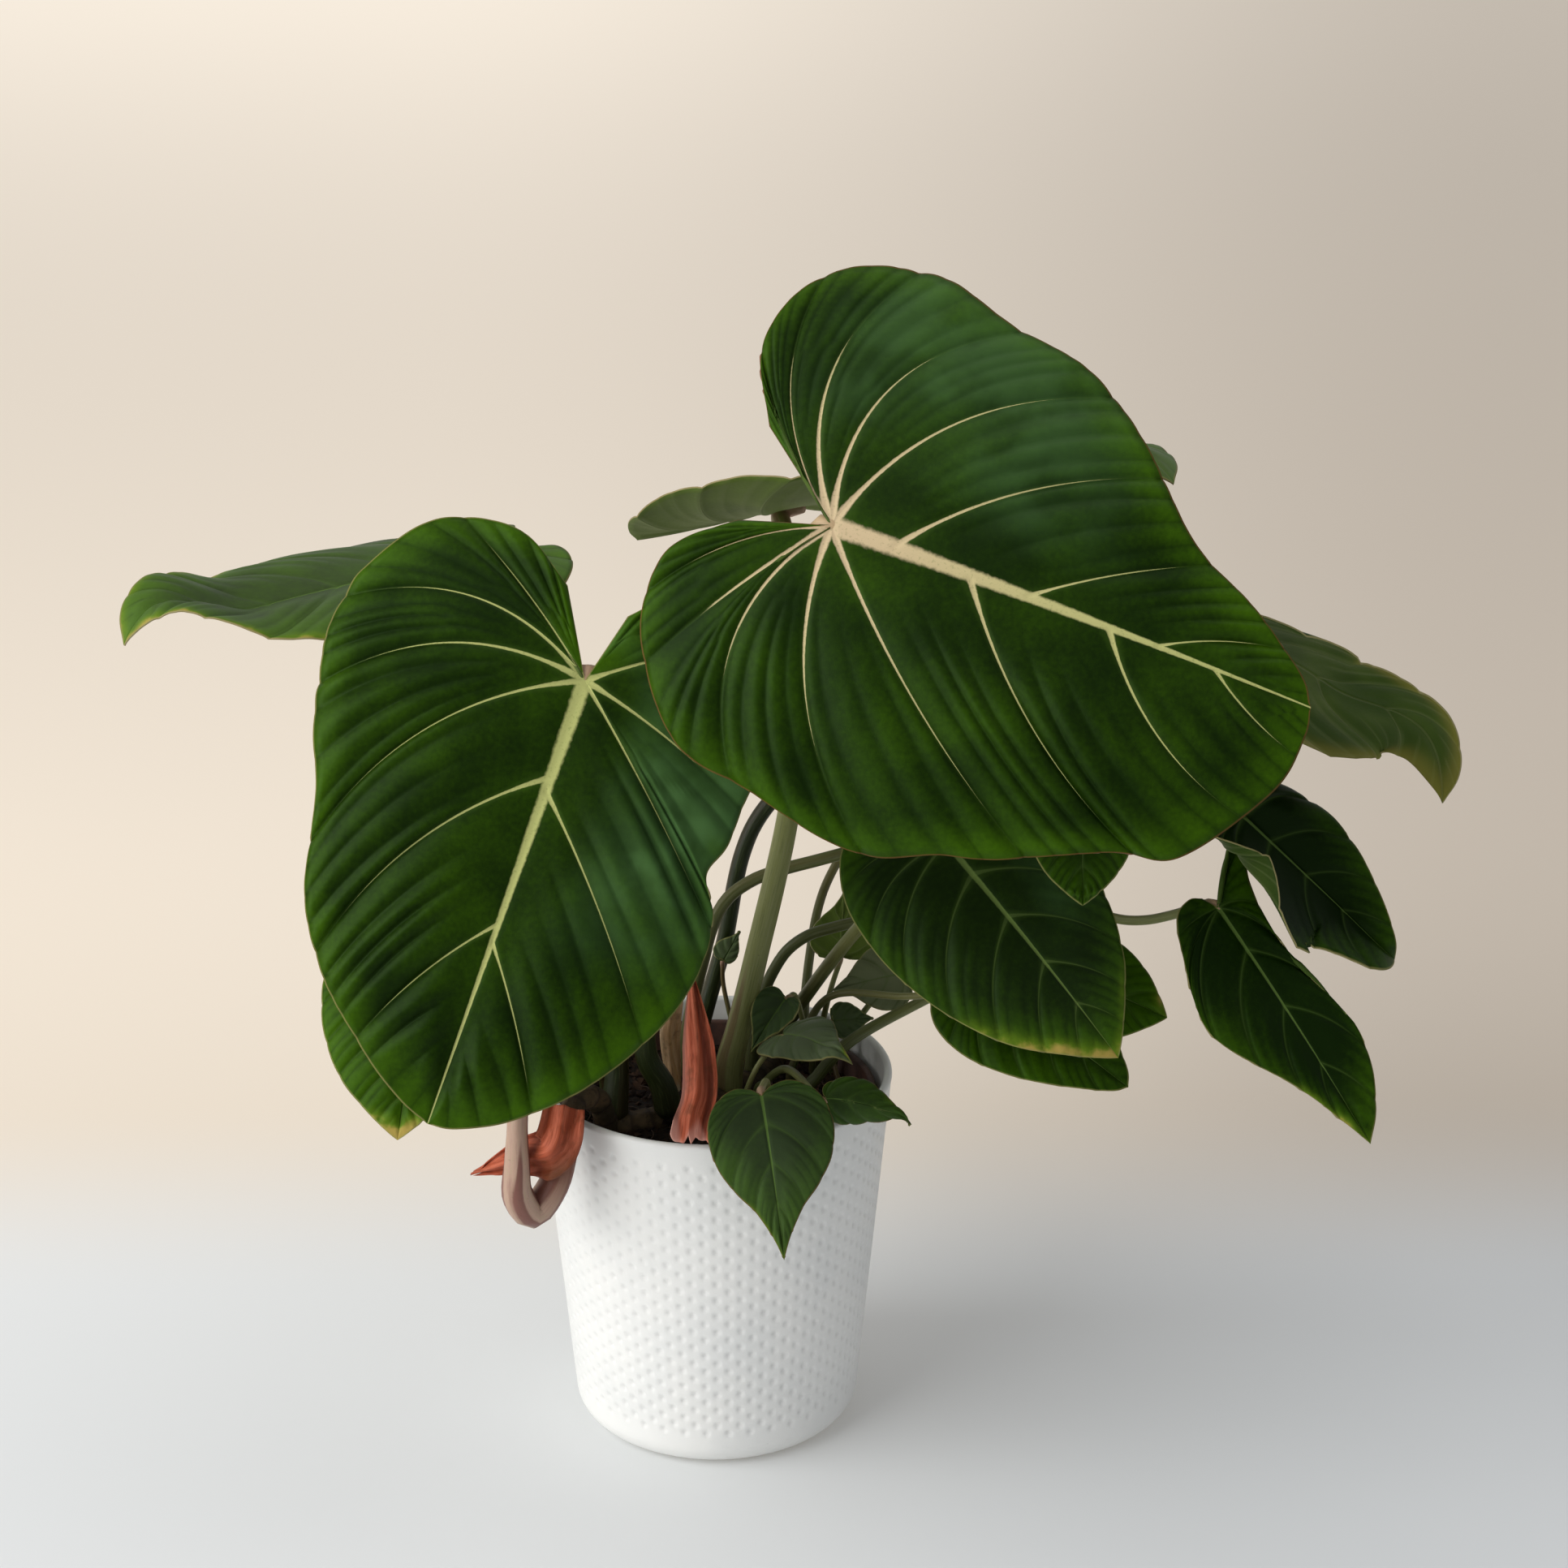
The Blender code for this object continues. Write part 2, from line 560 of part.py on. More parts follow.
def add_leaf(name, leaf, collection, finish):
    """A blade: a grid whose rows follow its veins, thickened towards its upper side."""
    rows, columns = LEAF_CELLS[leaf.size]
    blade = Blade(leaf)
    grid = bmesh.new()
    bmesh.ops.create_grid(grid, x_segments=2 * columns, y_segments=rows, size=1.0)
    for vertex in grid.verts:
        x, y, _ = vertex.co
        vertex.co = blade.point(1 if x >= 0 else -1, abs(x), (y + 1) / 2)
    bmesh.ops.remove_doubles(grid, verts=grid.verts, dist=0.00005)
    mesh = bpy.data.meshes.new(name)
    grid.to_mesh(mesh)
    grid.free()
    mesh.shade_smooth()
    obj = add_object(name, mesh, collection, finish)
    wall = obj.modifiers.new("Thickness", "SOLIDIFY")
    wall.thickness = LEAF_THICKNESS
    wall.offset = -1.0
    return obj


def add_stalk(name, stalk, leaf, collection, finish):
    """A leaf stalk from the soil up to just behind its blade."""
    blade = Blade(leaf)
    reach = blade.along * (stalk.top + 0.0006) + blade.facing * (stalk.top + LEAF_THICKNESS + GAP)
    points = list(stalk.points[1:]) + [tuple(blade.base - reach)]
    start = stalk.points[0]
    foot = start
    if len(start) == 2:
        foot = (*start, ground_height(*start))
        start = (*start, foot[2] + STALK_FOOT)
    path = smooth_path([start] + points, STALK_POINTS - 1)
    path = np.vstack([foot, path]) if foot != start else path
    radii = np.linspace(stalk.foot, stalk.top, len(path))
    return tube(name, path, radii, collection, finish)


def add_sheath(name, sheath, collection, finish):
    """A papery bract: a strip along its middle line, folded into a shallow trough."""
    middle = smooth_path(sheath.points, SHEATH_ROWS + 1)
    widths = np.interp(
        np.linspace(0, 1, SHEATH_ROWS + 1), np.linspace(0, 1, len(sheath.widths)), sheath.widths
    )
    trough = math.radians(sheath.trough)
    strip = bmesh.new()
    bmesh.ops.create_grid(strip, x_segments=4, y_segments=SHEATH_ROWS, size=1.0)
    for vertex in strip.verts:
        row = round((vertex.co.y + 1) / 2 * SHEATH_ROWS)
        ahead = Vector(middle[min(row + 1, SHEATH_ROWS)]) - Vector(middle[max(row - 1, 0)])
        along = ahead.normalized()
        facing = Vector(sheath.facing)
        facing = (facing - along * facing.dot(along)).normalized()
        across = facing.cross(along)
        reach = vertex.co.x * widths[row] / 2
        lift = abs(reach) * math.sin(trough)
        vertex.co = Vector(middle[row]) + across * reach * math.cos(trough) + facing * lift
    mesh = bpy.data.meshes.new(name)
    strip.to_mesh(mesh)
    strip.free()
    mesh.shade_smooth()
    obj = add_object(name, mesh, collection, finish)
    wall = obj.modifiers.new("Thickness", "SOLIDIFY")
    wall.thickness = SHEATH_THICKNESS
    wall.offset = 0.0
    return obj


def add_rhizome(collection, cutters, finish):
    """The creeping stem, and the cutter that leaves room for it in the soil."""
    path = rhizome_points(12)
    stem = tube("rhizome", path, [RHIZOME_RADIUS] * len(path), collection, finish)
    wider = rhizome_points(12, overrun=GAP)
    trench = tube("trench", wider, [RHIZOME_RADIUS + GAP] * len(wider), cutters, finish)
    trench = meshed(trench)
    trench.display_type = "WIRE"
    trench.hide_render = True
    return stem, trench


def add_shoot(collection, finish):
    """The side shoot that hangs over the rim and turns up into a leaf stalk."""
    path = smooth_path(SHOOT_PATH, 14)
    radii = np.interp(
        np.linspace(0, 1, len(path)), np.linspace(0, 1, len(SHOOT_RADII)), SHOOT_RADII
    )
    return tube("rhizome_side_shoot", path, radii, collection, finish)


def main():
    clear_scene()
    plant = new_collection("potted_philodendron", shown=True)
    cutters = new_collection("cutters", shown=False)
    add_pot(plant)
    add_grow_pot(plant)
    bark = material("rhizome_brown", (0.09, 0.05, 0.03), 0.8)
    _, trench = add_rhizome(plant, cutters, bark)
    add_soil(plant, trench)
    add_shoot(plant, bark)
    blade_green = material("leaf_green", (0.03, 0.10, 0.02), 0.5)
    stalk_green = material("stalk_green", (0.10, 0.12, 0.06), 0.5)
    bract_red = material("bract_red", (0.45, 0.13, 0.08), 0.6)
    for name, leaf in LEAVES.items():
        add_leaf("leaf_" + name, leaf, plant, blade_green)
    for name, stalk in STALKS.items():
        add_stalk("stalk_" + name, stalk, LEAVES[name], plant, stalk_green)
    for name, sheath in SHEATHS.items():
        add_sheath("sheath_" + name, sheath, plant, bract_red)


main()
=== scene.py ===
"""Potted philodendron: the finish and the fine shape of every piece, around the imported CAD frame.

Metres, +Z up. The origin is the centre of the cover pot's flat foot, -Y is the front.
"""
import math
from collections import namedtuple
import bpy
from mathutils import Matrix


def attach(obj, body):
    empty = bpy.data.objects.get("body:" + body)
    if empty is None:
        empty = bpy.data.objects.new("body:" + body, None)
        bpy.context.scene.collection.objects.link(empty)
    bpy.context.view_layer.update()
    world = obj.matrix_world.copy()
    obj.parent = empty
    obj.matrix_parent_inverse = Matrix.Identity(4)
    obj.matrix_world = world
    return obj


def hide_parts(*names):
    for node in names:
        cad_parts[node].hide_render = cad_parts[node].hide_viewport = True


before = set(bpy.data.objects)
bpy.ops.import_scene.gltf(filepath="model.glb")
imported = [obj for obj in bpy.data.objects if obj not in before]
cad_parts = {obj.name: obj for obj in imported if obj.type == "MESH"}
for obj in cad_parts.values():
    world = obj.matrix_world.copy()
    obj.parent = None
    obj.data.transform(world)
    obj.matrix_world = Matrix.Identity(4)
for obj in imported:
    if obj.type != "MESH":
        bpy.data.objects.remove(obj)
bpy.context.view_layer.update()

from types import SimpleNamespace

import bmesh
import bpy
import numpy as np
from mathutils import Matrix, Vector

# ---------------------------------------------------------------- sizes, as in the CAD source

POT_HEIGHT = 0.180
POT_RIM_RADIUS = 0.085
POT_SIDE_RADIUS = 0.0695
POT_FOOT_ROUNDING = 0.0135
POT_WALL = 0.004
POT_FLOOR = 0.005

GROW_POT_DROP = 0.010
GROW_POT_CLEARANCE = 0.0030
GROW_POT_WALL = 0.0014
GROW_POT_LIP = 0.0018

SOIL_DROP = 0.023
SOIL_CROWN = 0.003

RHIZOME_RADIUS = 0.0075
RHIZOME_DEPTH = 0.0015
STALK_FOOT = 0.006

# Half outlines of a leaf, from the back of the lobe round to just before the tip:
# (across, along) in lengths of the midrib.
DEEP_HEART = (
    (0.07, -0.20), (0.18, -0.28), (0.34, -0.26), (0.48, -0.14), (0.54, 0.06),
    (0.51, 0.28), (0.42, 0.50), (0.28, 0.72), (0.11, 0.93),
)
BROAD_HEART = (
    (0.07, -0.18), (0.20, -0.25), (0.38, -0.21), (0.51, -0.06), (0.55, 0.14),
    (0.53, 0.34), (0.46, 0.54), (0.34, 0.73), (0.16, 0.89), (0.05, 0.97),
)
YOUNG_HEART = (
    (0.05, -0.04), (0.17, -0.06), (0.29, -0.01), (0.37, 0.12), (0.38, 0.27),
    (0.34, 0.43), (0.25, 0.58), (0.14, 0.71), (0.05, 0.87),
)
SLIM_LEFT = (
    (0.03, -0.06), (0.08, -0.08), (0.16, -0.04), (0.24, 0.14), (0.29, 0.31),
    (0.27, 0.43), (0.20, 0.56), (0.12, 0.70), (0.05, 0.87),
)
SLIM_RIGHT = (
    (0.06, -0.06), (0.13, -0.13), (0.20, -0.19), (0.20, -0.12), (0.15, -0.02),
    (0.12, 0.15), (0.12, 0.32), (0.16, 0.50), (0.18, 0.63), (0.15, 0.77), (0.08, 0.91),
)
TOP_RIGHT_UPPER = (
    (0.14, -0.19), (0.30, -0.27), (0.48, -0.21), (0.545, -0.02), (0.50, 0.16),
    (0.45, 0.37), (0.34, 0.53), (0.21, 0.67), (0.13, 0.83), (0.05, 0.96),
)
TOP_RIGHT_LOWER = (
    (0.05, -0.18), (0.16, -0.29), (0.33, -0.28), (0.50, -0.14), (0.54, 0.04),
    (0.58, 0.28), (0.51, 0.50), (0.40, 0.74), (0.36, 0.87), (0.18, 0.99), (0.06, 1.01),
)
FRONT_LEFT_LEFT = (
    (0.10, -0.18), (0.24, -0.26), (0.42, -0.22), (0.54, -0.02), (0.53, 0.18),
    (0.45, 0.42), (0.40, 0.62), (0.31, 0.77), (0.17, 0.90), (0.07, 0.97),
)
FRONT_LEFT_RIGHT = (
    (0.04, -0.16), (0.15, -0.25), (0.30, -0.17), (0.40, 0.01), (0.40, 0.24),
    (0.43, 0.47), (0.39, 0.65), (0.29, 0.81), (0.17, 0.93), (0.06, 0.99),
)

Leaf = namedtuple(
    "Leaf",
    "base tip facing left right width arch fold curl roll hook twist size",
    defaults=(DEEP_HEART, DEEP_HEART, (1, 1), 0.05, (0, 0), (0, 0), (0, 0), 0, 0, "large"),
)
# base and tip end the midrib, facing is the upper side. left and right are the half outlines, and
# width stretches each. arch bows the midrib up. fold is how far each half stands up from the
# midrib, and curl how much more it turns for each midrib length across, in degrees. roll is more
# curl by the lobe, which fades to the tip. hook bends the tip back down, in lengths of the midrib.
# twist turns the tip about the midrib, in degrees.
# Left and right are as seen from above with the tip pointing down.

LEAVES = {
    "top_right": Leaf(
        (0.051, -0.095, 0.476), (0.249, -0.144, 0.410), (-0.05, -0.87, 0.50),
        TOP_RIGHT_LOWER, TOP_RIGHT_UPPER, width=(1.02, 1.05), arch=0.03, fold=(3, 5), curl=(-45, -40),
    ),
    "front_left": Leaf(
        (-0.055, -0.075, 0.401), (-0.124, -0.150, 0.225), (0.06, -0.90, 0.40),
        FRONT_LEFT_LEFT, FRONT_LEFT_RIGHT, width=(1.03, 1.02), arch=0.03, fold=(4, 4), curl=(-45, -36),
    ),
    "far_left": Leaf(
        (-0.1214, 0.0450, 0.4190), (-0.2622, -0.0272, 0.4030), (0.01, 0.13, 0.99),
        width=(0.91, 0.89), arch=0.013, fold=(18, 11), curl=(-82, -100), hook=0.141, twist=-5,
    ),
    "low_left": Leaf(
        (-0.131, -0.031, 0.250), (-0.145, -0.077, 0.181), (-0.10, -0.90, 0.40),
        BROAD_HEART, BROAD_HEART, width=(1.05, 0.72), fold=(5, 5), curl=(-40, -40),
    ),
    "back": Leaf(
        (0.039, 0.120, 0.428), (0.212, 0.022, 0.461), (0.05, 0.52, 0.84),
        width=(1.04, 0.92), arch=0.029, fold=(-35, 24), curl=(76, -48), hook=0.12, twist=-5,
    ),
    "far_right": Leaf(
        (0.183, 0.030, 0.397), (0.336, -0.023, 0.321), (0.24, -0.04, 0.94),
        width=(0.83, 1.01), arch=0.138, fold=(22, -33), curl=(-29, 0), hook=0.14, twist=-26,
    ),
    "right": Leaf(
        (0.246, -0.013, 0.311), (0.318, -0.026, 0.244), (-0.23, -0.87, 0.37),
        BROAD_HEART, DEEP_HEART, width=(1.07, 0.64), arch=-0.045, fold=(36, 9), curl=(19, -29),
        roll=(158, -346), hook=0.12, twist=-20, size="medium",
    ),
    "low_right": Leaf(
        (0.233, -0.033, 0.274), (0.300, -0.083, 0.177), (0.10, -0.85, 0.50),
        SLIM_LEFT, SLIM_RIGHT, arch=0.03, fold=(5, 2), curl=(-30, -10), size="medium",
    ),
    "middle": Leaf(
        (0.106, -0.040, 0.310), (0.182, -0.088, 0.224), (0.10, -0.85, 0.50),
        BROAD_HEART, BROAD_HEART, width=(0.84, 0.72), arch=0.04, fold=(6, 6), curl=(-45, -50),
    ),
    "behind_middle": Leaf(
        (0.152, 0.000, 0.234), (0.215, -0.010, 0.208), (0.10, -0.85, 0.50),
        BROAD_HEART, BROAD_HEART, width=(0.8, 0.72), fold=(5, 5), curl=(-40, -40), size="medium",
    ),
    "under_middle": Leaf(
        (0.130, -0.024, 0.229), (0.192, -0.052, 0.192), (0.10, -0.80, 0.60),
        width=(0.8, 0.8), fold=(5, 5), curl=(-40, -40), size="medium",
    ),
    "pleated": Leaf(
        (0.162, -0.075, 0.350), (0.163, -0.092, 0.300), (0.10, -0.90, 0.40),
        BROAD_HEART, BROAD_HEART, width=(0.9, 0.9), fold=(5, 5), curl=(-40, -40), size="medium",
    ),
    "over_rim": Leaf(
        (0.021, -0.081, 0.204), (0.0305, -0.121, 0.141), (0.05, -0.90, 0.42),
        YOUNG_HEART, YOUNG_HEART, width=(0.94, 1.08), arch=0.10, fold=(-5, 10), curl=(-20, -80),
        size="medium",
    ),
    "rim_right": Leaf(
        (0.0507, -0.0703, 0.1970), (0.0895, -0.0713, 0.1831), (0.06, -0.57, 0.82),
        YOUNG_HEART, YOUNG_HEART, width=(0.95, 0.97), arch=0.143, fold=(-51, -7), curl=(-93, -68),
        hook=0.118, twist=16, size="small",
    ),
    "young_grey": Leaf(
        (0.032, -0.015, 0.204), (0.064, -0.050, 0.204), (0.10, -0.61, 0.76),
        BROAD_HEART, YOUNG_HEART, width=(0.60, 1.00), arch=0.123, curl=(-28, -70), hook=0.14,
        size="small",
    ),
    "young_folded": Leaf(
        (0.034, 0.010, 0.211), (0.017, -0.006, 0.190), (-0.30, -0.80, 0.50),
        YOUNG_HEART, YOUNG_HEART, fold=(25, 25), size="small",
    ),
    "young_right": Leaf(
        (0.092, 0.026, 0.217), (0.057, 0.030, 0.206), (0.00, -0.80, 0.60),
        YOUNG_HEART, YOUNG_HEART, width=(1.2, 1.2), curl=(-40, -40), size="small",
    ),
    "young_pale": Leaf(
        (0.062, 0.050, 0.216), (0.064, 0.060, 0.246), (0.00, 0.90, -0.30),
        YOUNG_HEART, YOUNG_HEART, width=(1.3, 1.3), curl=(-40, -40), size="small",
    ),
    "young_left": Leaf(
        (0.005, 0.050, 0.214), (0.013, 0.054, 0.228), (0.00, -0.90, 0.30),
        YOUNG_HEART, YOUNG_HEART, width=(0.8, 1.2), curl=(-40, -40), size="small",
    ),
    "young_back": Leaf(
        (0.058, 0.026, 0.192), (0.078, 0.030, 0.191), (0.00, -0.80, 0.60),
        YOUNG_HEART, YOUNG_HEART, width=(1.2, 1.2), curl=(-40, -40), size="small",
    ),
}

Stalk = namedtuple("Stalk", "foot top points")
# Radius at the foot and at the blade, and the points that it passes, from the soil or the rhizome
# up. A first point without a height stands on whichever is there. The last point is worked out
# from its leaf.

STALKS = {
    "top_right": Stalk(0.0056, 0.0038, (
        (-0.022, -0.015), (-0.033, -0.018, 0.206), (-0.015, -0.020, 0.274), (0.010, -0.030, 0.330),
        (0.036, -0.062, 0.420),
    )),
    "front_left": Stalk(0.0056, 0.0040, (
        (-0.048, -0.017), (-0.046, -0.014, 0.191), (-0.050, -0.018, 0.283),
    )),
    "far_left": Stalk(0.0052, 0.0034, (
        (-0.0906, -0.0832, 0.1590), (-0.0901, -0.0820, 0.1849), (-0.0895, -0.0680, 0.2150),
        (-0.0920, -0.0300, 0.2750), (-0.1000, 0.0050, 0.3500), (-0.1130, 0.0300, 0.3950),
    )),
    "low_left": Stalk(0.0030, 0.0022, ((-0.052, 0.012), (-0.066, 0.000, 0.205), (-0.100, -0.016, 0.245))),
    "back": Stalk(0.0062, 0.0040, (
        (0.006, 0.010), (0.018, 0.012, 0.223), (0.037, 0.022, 0.308), (0.041, 0.035, 0.378),
    )),
    "far_right": Stalk(0.0044, 0.0034, (
        (-0.010, 0.056), (0.004, 0.062, 0.213), (0.024, 0.064, 0.286), (0.090, 0.058, 0.340),
        (0.138, 0.048, 0.350), (0.180, 0.031, 0.370),
    )),
    "right": Stalk(0.0034, 0.0024, (
        (-0.016, 0.034), (-0.007, 0.032, 0.215), (0.010, 0.040, 0.254), (0.062, 0.036, 0.275),
        (0.160, 0.030, 0.302), (0.226, 0.006, 0.302),
    )),
    "low_right": Stalk(0.0030, 0.0022, (
        (0.018, 0.028), (0.023, 0.030, 0.202), (0.038, 0.030, 0.230), (0.066, 0.026, 0.243),
        (0.123, 0.028, 0.252), (0.160, 0.026, 0.254), (0.198, 0.000, 0.254),
    )),
    "middle": Stalk(0.0036, 0.0028, ((0.031, 0.054), (0.047, 0.036, 0.204), (0.068, 0.004, 0.249))),
    "behind_middle": Stalk(0.0032, 0.0020, (
        (0.044, 0.004), (0.064, 0.002, 0.191), (0.098, 0.014, 0.206), (0.128, 0.012, 0.222),
    )),
    "under_middle": Stalk(0.0020, 0.0016, ((0.036, 0.020), (0.054, 0.018, 0.207), (0.092, 0.000, 0.216))),
    "pleated": Stalk(0.0024, 0.0018, (
        (0.044, 0.052), (0.046, 0.060, 0.200), (0.056, 0.073, 0.245), (0.085, 0.050, 0.300),
        (0.120, 0.012, 0.340), (0.150, -0.042, 0.356),
    )),
    "over_rim": Stalk(0.0020, 0.0015, ((0.026, -0.032), (0.024, -0.056, 0.198))),
    "rim_right": Stalk(0.0022, 0.0016, ((0.020, 0.004), (0.034, -0.016, 0.186))),
    "young_grey": Stalk(0.0016, 0.0011, ((0.012, -0.016), (0.020, -0.022, 0.190))),
    "young_folded": Stalk(0.0016, 0.0011, ((0.048, 0.036), (0.040, 0.022, 0.205))),
    "young_right": Stalk(0.0018, 0.0013, ((0.058, 0.036), (0.076, 0.036, 0.196))),
    "young_pale": Stalk(0.0018, 0.0012, ((0.050, 0.048), (0.056, 0.044, 0.196))),
    "young_left": Stalk(0.0014, 0.0010, ((0.012, 0.050), (0.005, 0.055, 0.196))),
    "young_back": Stalk(0.0014, 0.0010, ((0.060, 0.016), (0.056, 0.026, 0.178))),
}

# The rhizome creeps through the top of the soil, and one side shoot hangs over the rim.
RHIZOME_PATH = (
    (-0.058, -0.020), (-0.036, -0.018), (-0.010, -0.006), (0.012, 0.018), (0.026, 0.045),
    (0.034, 0.062),
)
SHOOT_PATH = (
    (-0.0500, -0.0420, 0.1650), (-0.0535, -0.0455, 0.1830), (-0.0600, -0.0525, 0.1905),
    (-0.0655, -0.0600, 0.1880), (-0.0680, -0.0660, 0.1775), (-0.0731, -0.0715, 0.1587),
    (-0.0801, -0.0745, 0.1453), (-0.0866, -0.0785, 0.1441), (-0.0900, -0.0815, 0.1520),
)
SHOOT_RADII = (0.0050, 0.0054, 0.0056, 0.0056, 0.0060, 0.0072, 0.0076, 0.0070, 0.0058)

Sheath = namedtuple("Sheath", "points widths facing trough")
# A papery bract: its middle line, its width at each point, its upper side and how far each half
# stands up from the middle, in degrees.

SHEATHS = {
    "red_front": Sheath(
        ((-0.0104, -0.0320, 0.2405), (-0.0084, -0.0470, 0.2256), (-0.0070, -0.0590, 0.2114),
         (-0.0071, -0.0710, 0.2011), (-0.0100, -0.0810, 0.1938), (-0.0116, -0.0885, 0.1852)),
        (0.0030, 0.0095, 0.0150, 0.0165, 0.0170, 0.0185), (0.00, -0.60, 0.80), -15,
    ),
    "tan_dry": Sheath(
        ((-0.0180, -0.0040, 0.2174), (-0.0210, -0.0020, 0.2001), (-0.0203, 0.0010, 0.1821),
         (-0.0185, 0.0040, 0.1640)),
        (0.0066, 0.0110, 0.0095, 0.0060), (0.00, -0.80, 0.60), -25,
    ),
    "red_over_rim": Sheath(
        ((-0.0685, -0.0735, 0.1960), (-0.0712, -0.0835, 0.1834), (-0.0766, -0.0845, 0.1758),
         (-0.0883, -0.0760, 0.1702), (-0.1100, -0.0720, 0.1614)),
        (0.0200, 0.0230, 0.0250, 0.0150, 0.0020), (0.05, -0.95, 0.25), -20,
    ),
}


# ---------------------------------------------------------------- the fine shape of the blades

BLADE_THICKNESS = 0.0008
BLADE_GRID = {  # rows that fan out from the base, rows along the midrib, columns across each half
    "hero": (184, 190, 34),
    "large": (72, 84, 26),
    "medium": (48, 44, 20),
    "small": (24, 24, 14),
}
HERO_LEAVES = ("top_right", "front_left")
COLUMN_CROWDING = 1.35  # columns crowd towards the midrib
FAR = 99.0  # millimetres, where there is no vein to be near

# The main veins of a half: where each leaves the midrib, where it meets the margin, as a share of
# the outline, and how far it bows back from a straight line.
PLAIN_VEINS = (
    (0, 0.13, 0.20), (0, 0.26, 0.28), (0, 0.39, 0.30), (0, 0.51, 0.26), (0.15, 0.63, 0.22),
    (0.35, 0.74, 0.18), (0.56, 0.84, 0.15), (0.75, 0.92, 0.12),
)
FEWER_VEINS = (
    (0, 0.16, 0.20), (0, 0.32, 0.26), (0, 0.47, 0.26), (0.18, 0.62, 0.22), (0.42, 0.76, 0.18),
    (0.66, 0.89, 0.14),
)
YOUNG_VEINS = ((0, 0.20, 0.20), (0, 0.42, 0.24), (0.22, 0.62, 0.20), (0.52, 0.82, 0.15))
VEINS = {
    "top_right": (
        ((0, 0.12, 0.34), (0, 0.19, 0.05), (0, 0.34, 0.34), (0, 0.49, 0.24), (0, 0.65, 0.09),
         (0.29, 0.755, 0.15), (0.58, 0.87, 0.20), (0.80, 0.95, 0.10)),
        ((0, 0.09, 0.30), (0, 0.21, 0.31), (0, 0.32, 0.33), (0, 0.46, 0.38), (0, 0.59, 0.26),
         (0.13, 0.70, 0.15), (0.41, 0.81, 0.06), (0.68, 0.93, 0.10)),
    ),
    "front_left": (
        ((0, 0.155, 0.08), (0, 0.33, 0.31), (0, 0.44, 0.28), (0, 0.63, 0.24), (0.22, 0.76, 0.19),
         (0.55, 0.87, 0.10)),
        ((0, 0.17, 0.05), (0, 0.385, 0.06), (0, 0.54, 0.02), (0.25, 0.71, 0.05), (0.59, 0.87, 0.05)),
    ),
    "large": (PLAIN_VEINS, PLAIN_VEINS),
    "medium": (FEWER_VEINS, FEWER_VEINS),
    "small": (YOUNG_VEINS, YOUNG_VEINS),
}

Look = namedtuple("Look", "tone blush grey red_edge vein pale worn", defaults=((),))
# tone makes a blade lighter and yellower, blush turns the base of its veins pink, grey is the
# bloom on a young blade, red_edge the colour of its margin, vein the width of its veins and pale
# how much they stand out. Each worn band is a stretch of margin that has yellowed: its side, where
# it starts and ends along the midrib, its width in millimetres and how far it has yellowed.
LOOKS = {
    "top_right": Look(0.10, 1.0, 0, 0.9, 1.0, 1.0),
    "front_left": Look(0.14, 0.0, 0, 0.25, 0.85, 0.95),
    "far_left": Look(0.36, 0.0, 0.12, 0.3, 0.5, 0.0, ((1, 0.4, 1.0, 5, 0.6), (-1, 0.0, 1.0, 4, 0.5))),
    "low_left": Look(0.28, 0.0, 0, 0.1, 0.6, 0.05, ((1, 0.85, 1.0, 8, 0.9), (-1, 0.85, 1.0, 8, 0.9))),
    "back": Look(0.40, 0.2, 0.25, 0.3, 0.5, 0.10),
    "far_right": Look(0.02, 0.0, 0.10, 0.2, 0.5, 0.10, ((1, 0.3, 1.0, 7, 0.62), (-1, 0.6, 1.0, 6, 0.6))),
    "right": Look(-0.05, 0.0, 0.0, 0.2, 0.38, 0.04),
    "low_right": Look(0.0, 0.0, 0, 0.2, 0.38, 0.04, ((-1, 0.62, 1.0, 6, 0.55), (1, 0.94, 1.0, 6, 0.5))),
    "middle": Look(0.06, 0.0, 0.04, 0.1, 0.65, 0.14, ((-1, 0.55, 1.0, 7, 0.72), (1, 0.72, 1.0, 5, 0.42))),
    "behind_middle": Look(0.30, 0.0, 0, 0.1, 0.6, 0.05, ((1, 0.80, 1.0, 6, 0.5),)),
    "under_middle": Look(0.10, 0.0, 0.0, 0.1, 0.6, 0.05),
    "pleated": Look(0.10, 0.0, 0.0, 0.1, 0.5, 0.0),
    "over_rim": Look(0.04, 0.0, 0.24, 0.7, 0.5, 0.0, ((-1, 0.6, 1.0, 3, 0.45), (1, 0.85, 1.0, 3, 0.35))),
    "rim_right": Look(0.05, 0.0, 0.15, 0.6, 0.6, 0.0, ((1, 0.5, 1.0, 3, 0.3),)),
    "young_grey": Look(0.10, 0.0, 0.90, 0.2, 0.6, 0.05, ((1, 0.85, 1.0, 3, 0.7),)),
    "young_folded": Look(0.00, 0.0, 0.55, 0.1, 0.5, 0.0),
    "young_right": Look(0.40, 0.0, 1.00, 0.1, 0.5, 0.0),
    # young_pale's full tone is partly its young colour and partly painted light shining through the
    # blade.
    "young_pale": Look(1.00, 0.0, 1.00, 0.1, 0.5, 0.0),
    "young_left": Look(0.10, 0.0, 0.90, 0.1, 0.5, 0.0),
    "young_back": Look(0.10, 0.0, 0.80, 0.1, 0.5, 0.0),
}

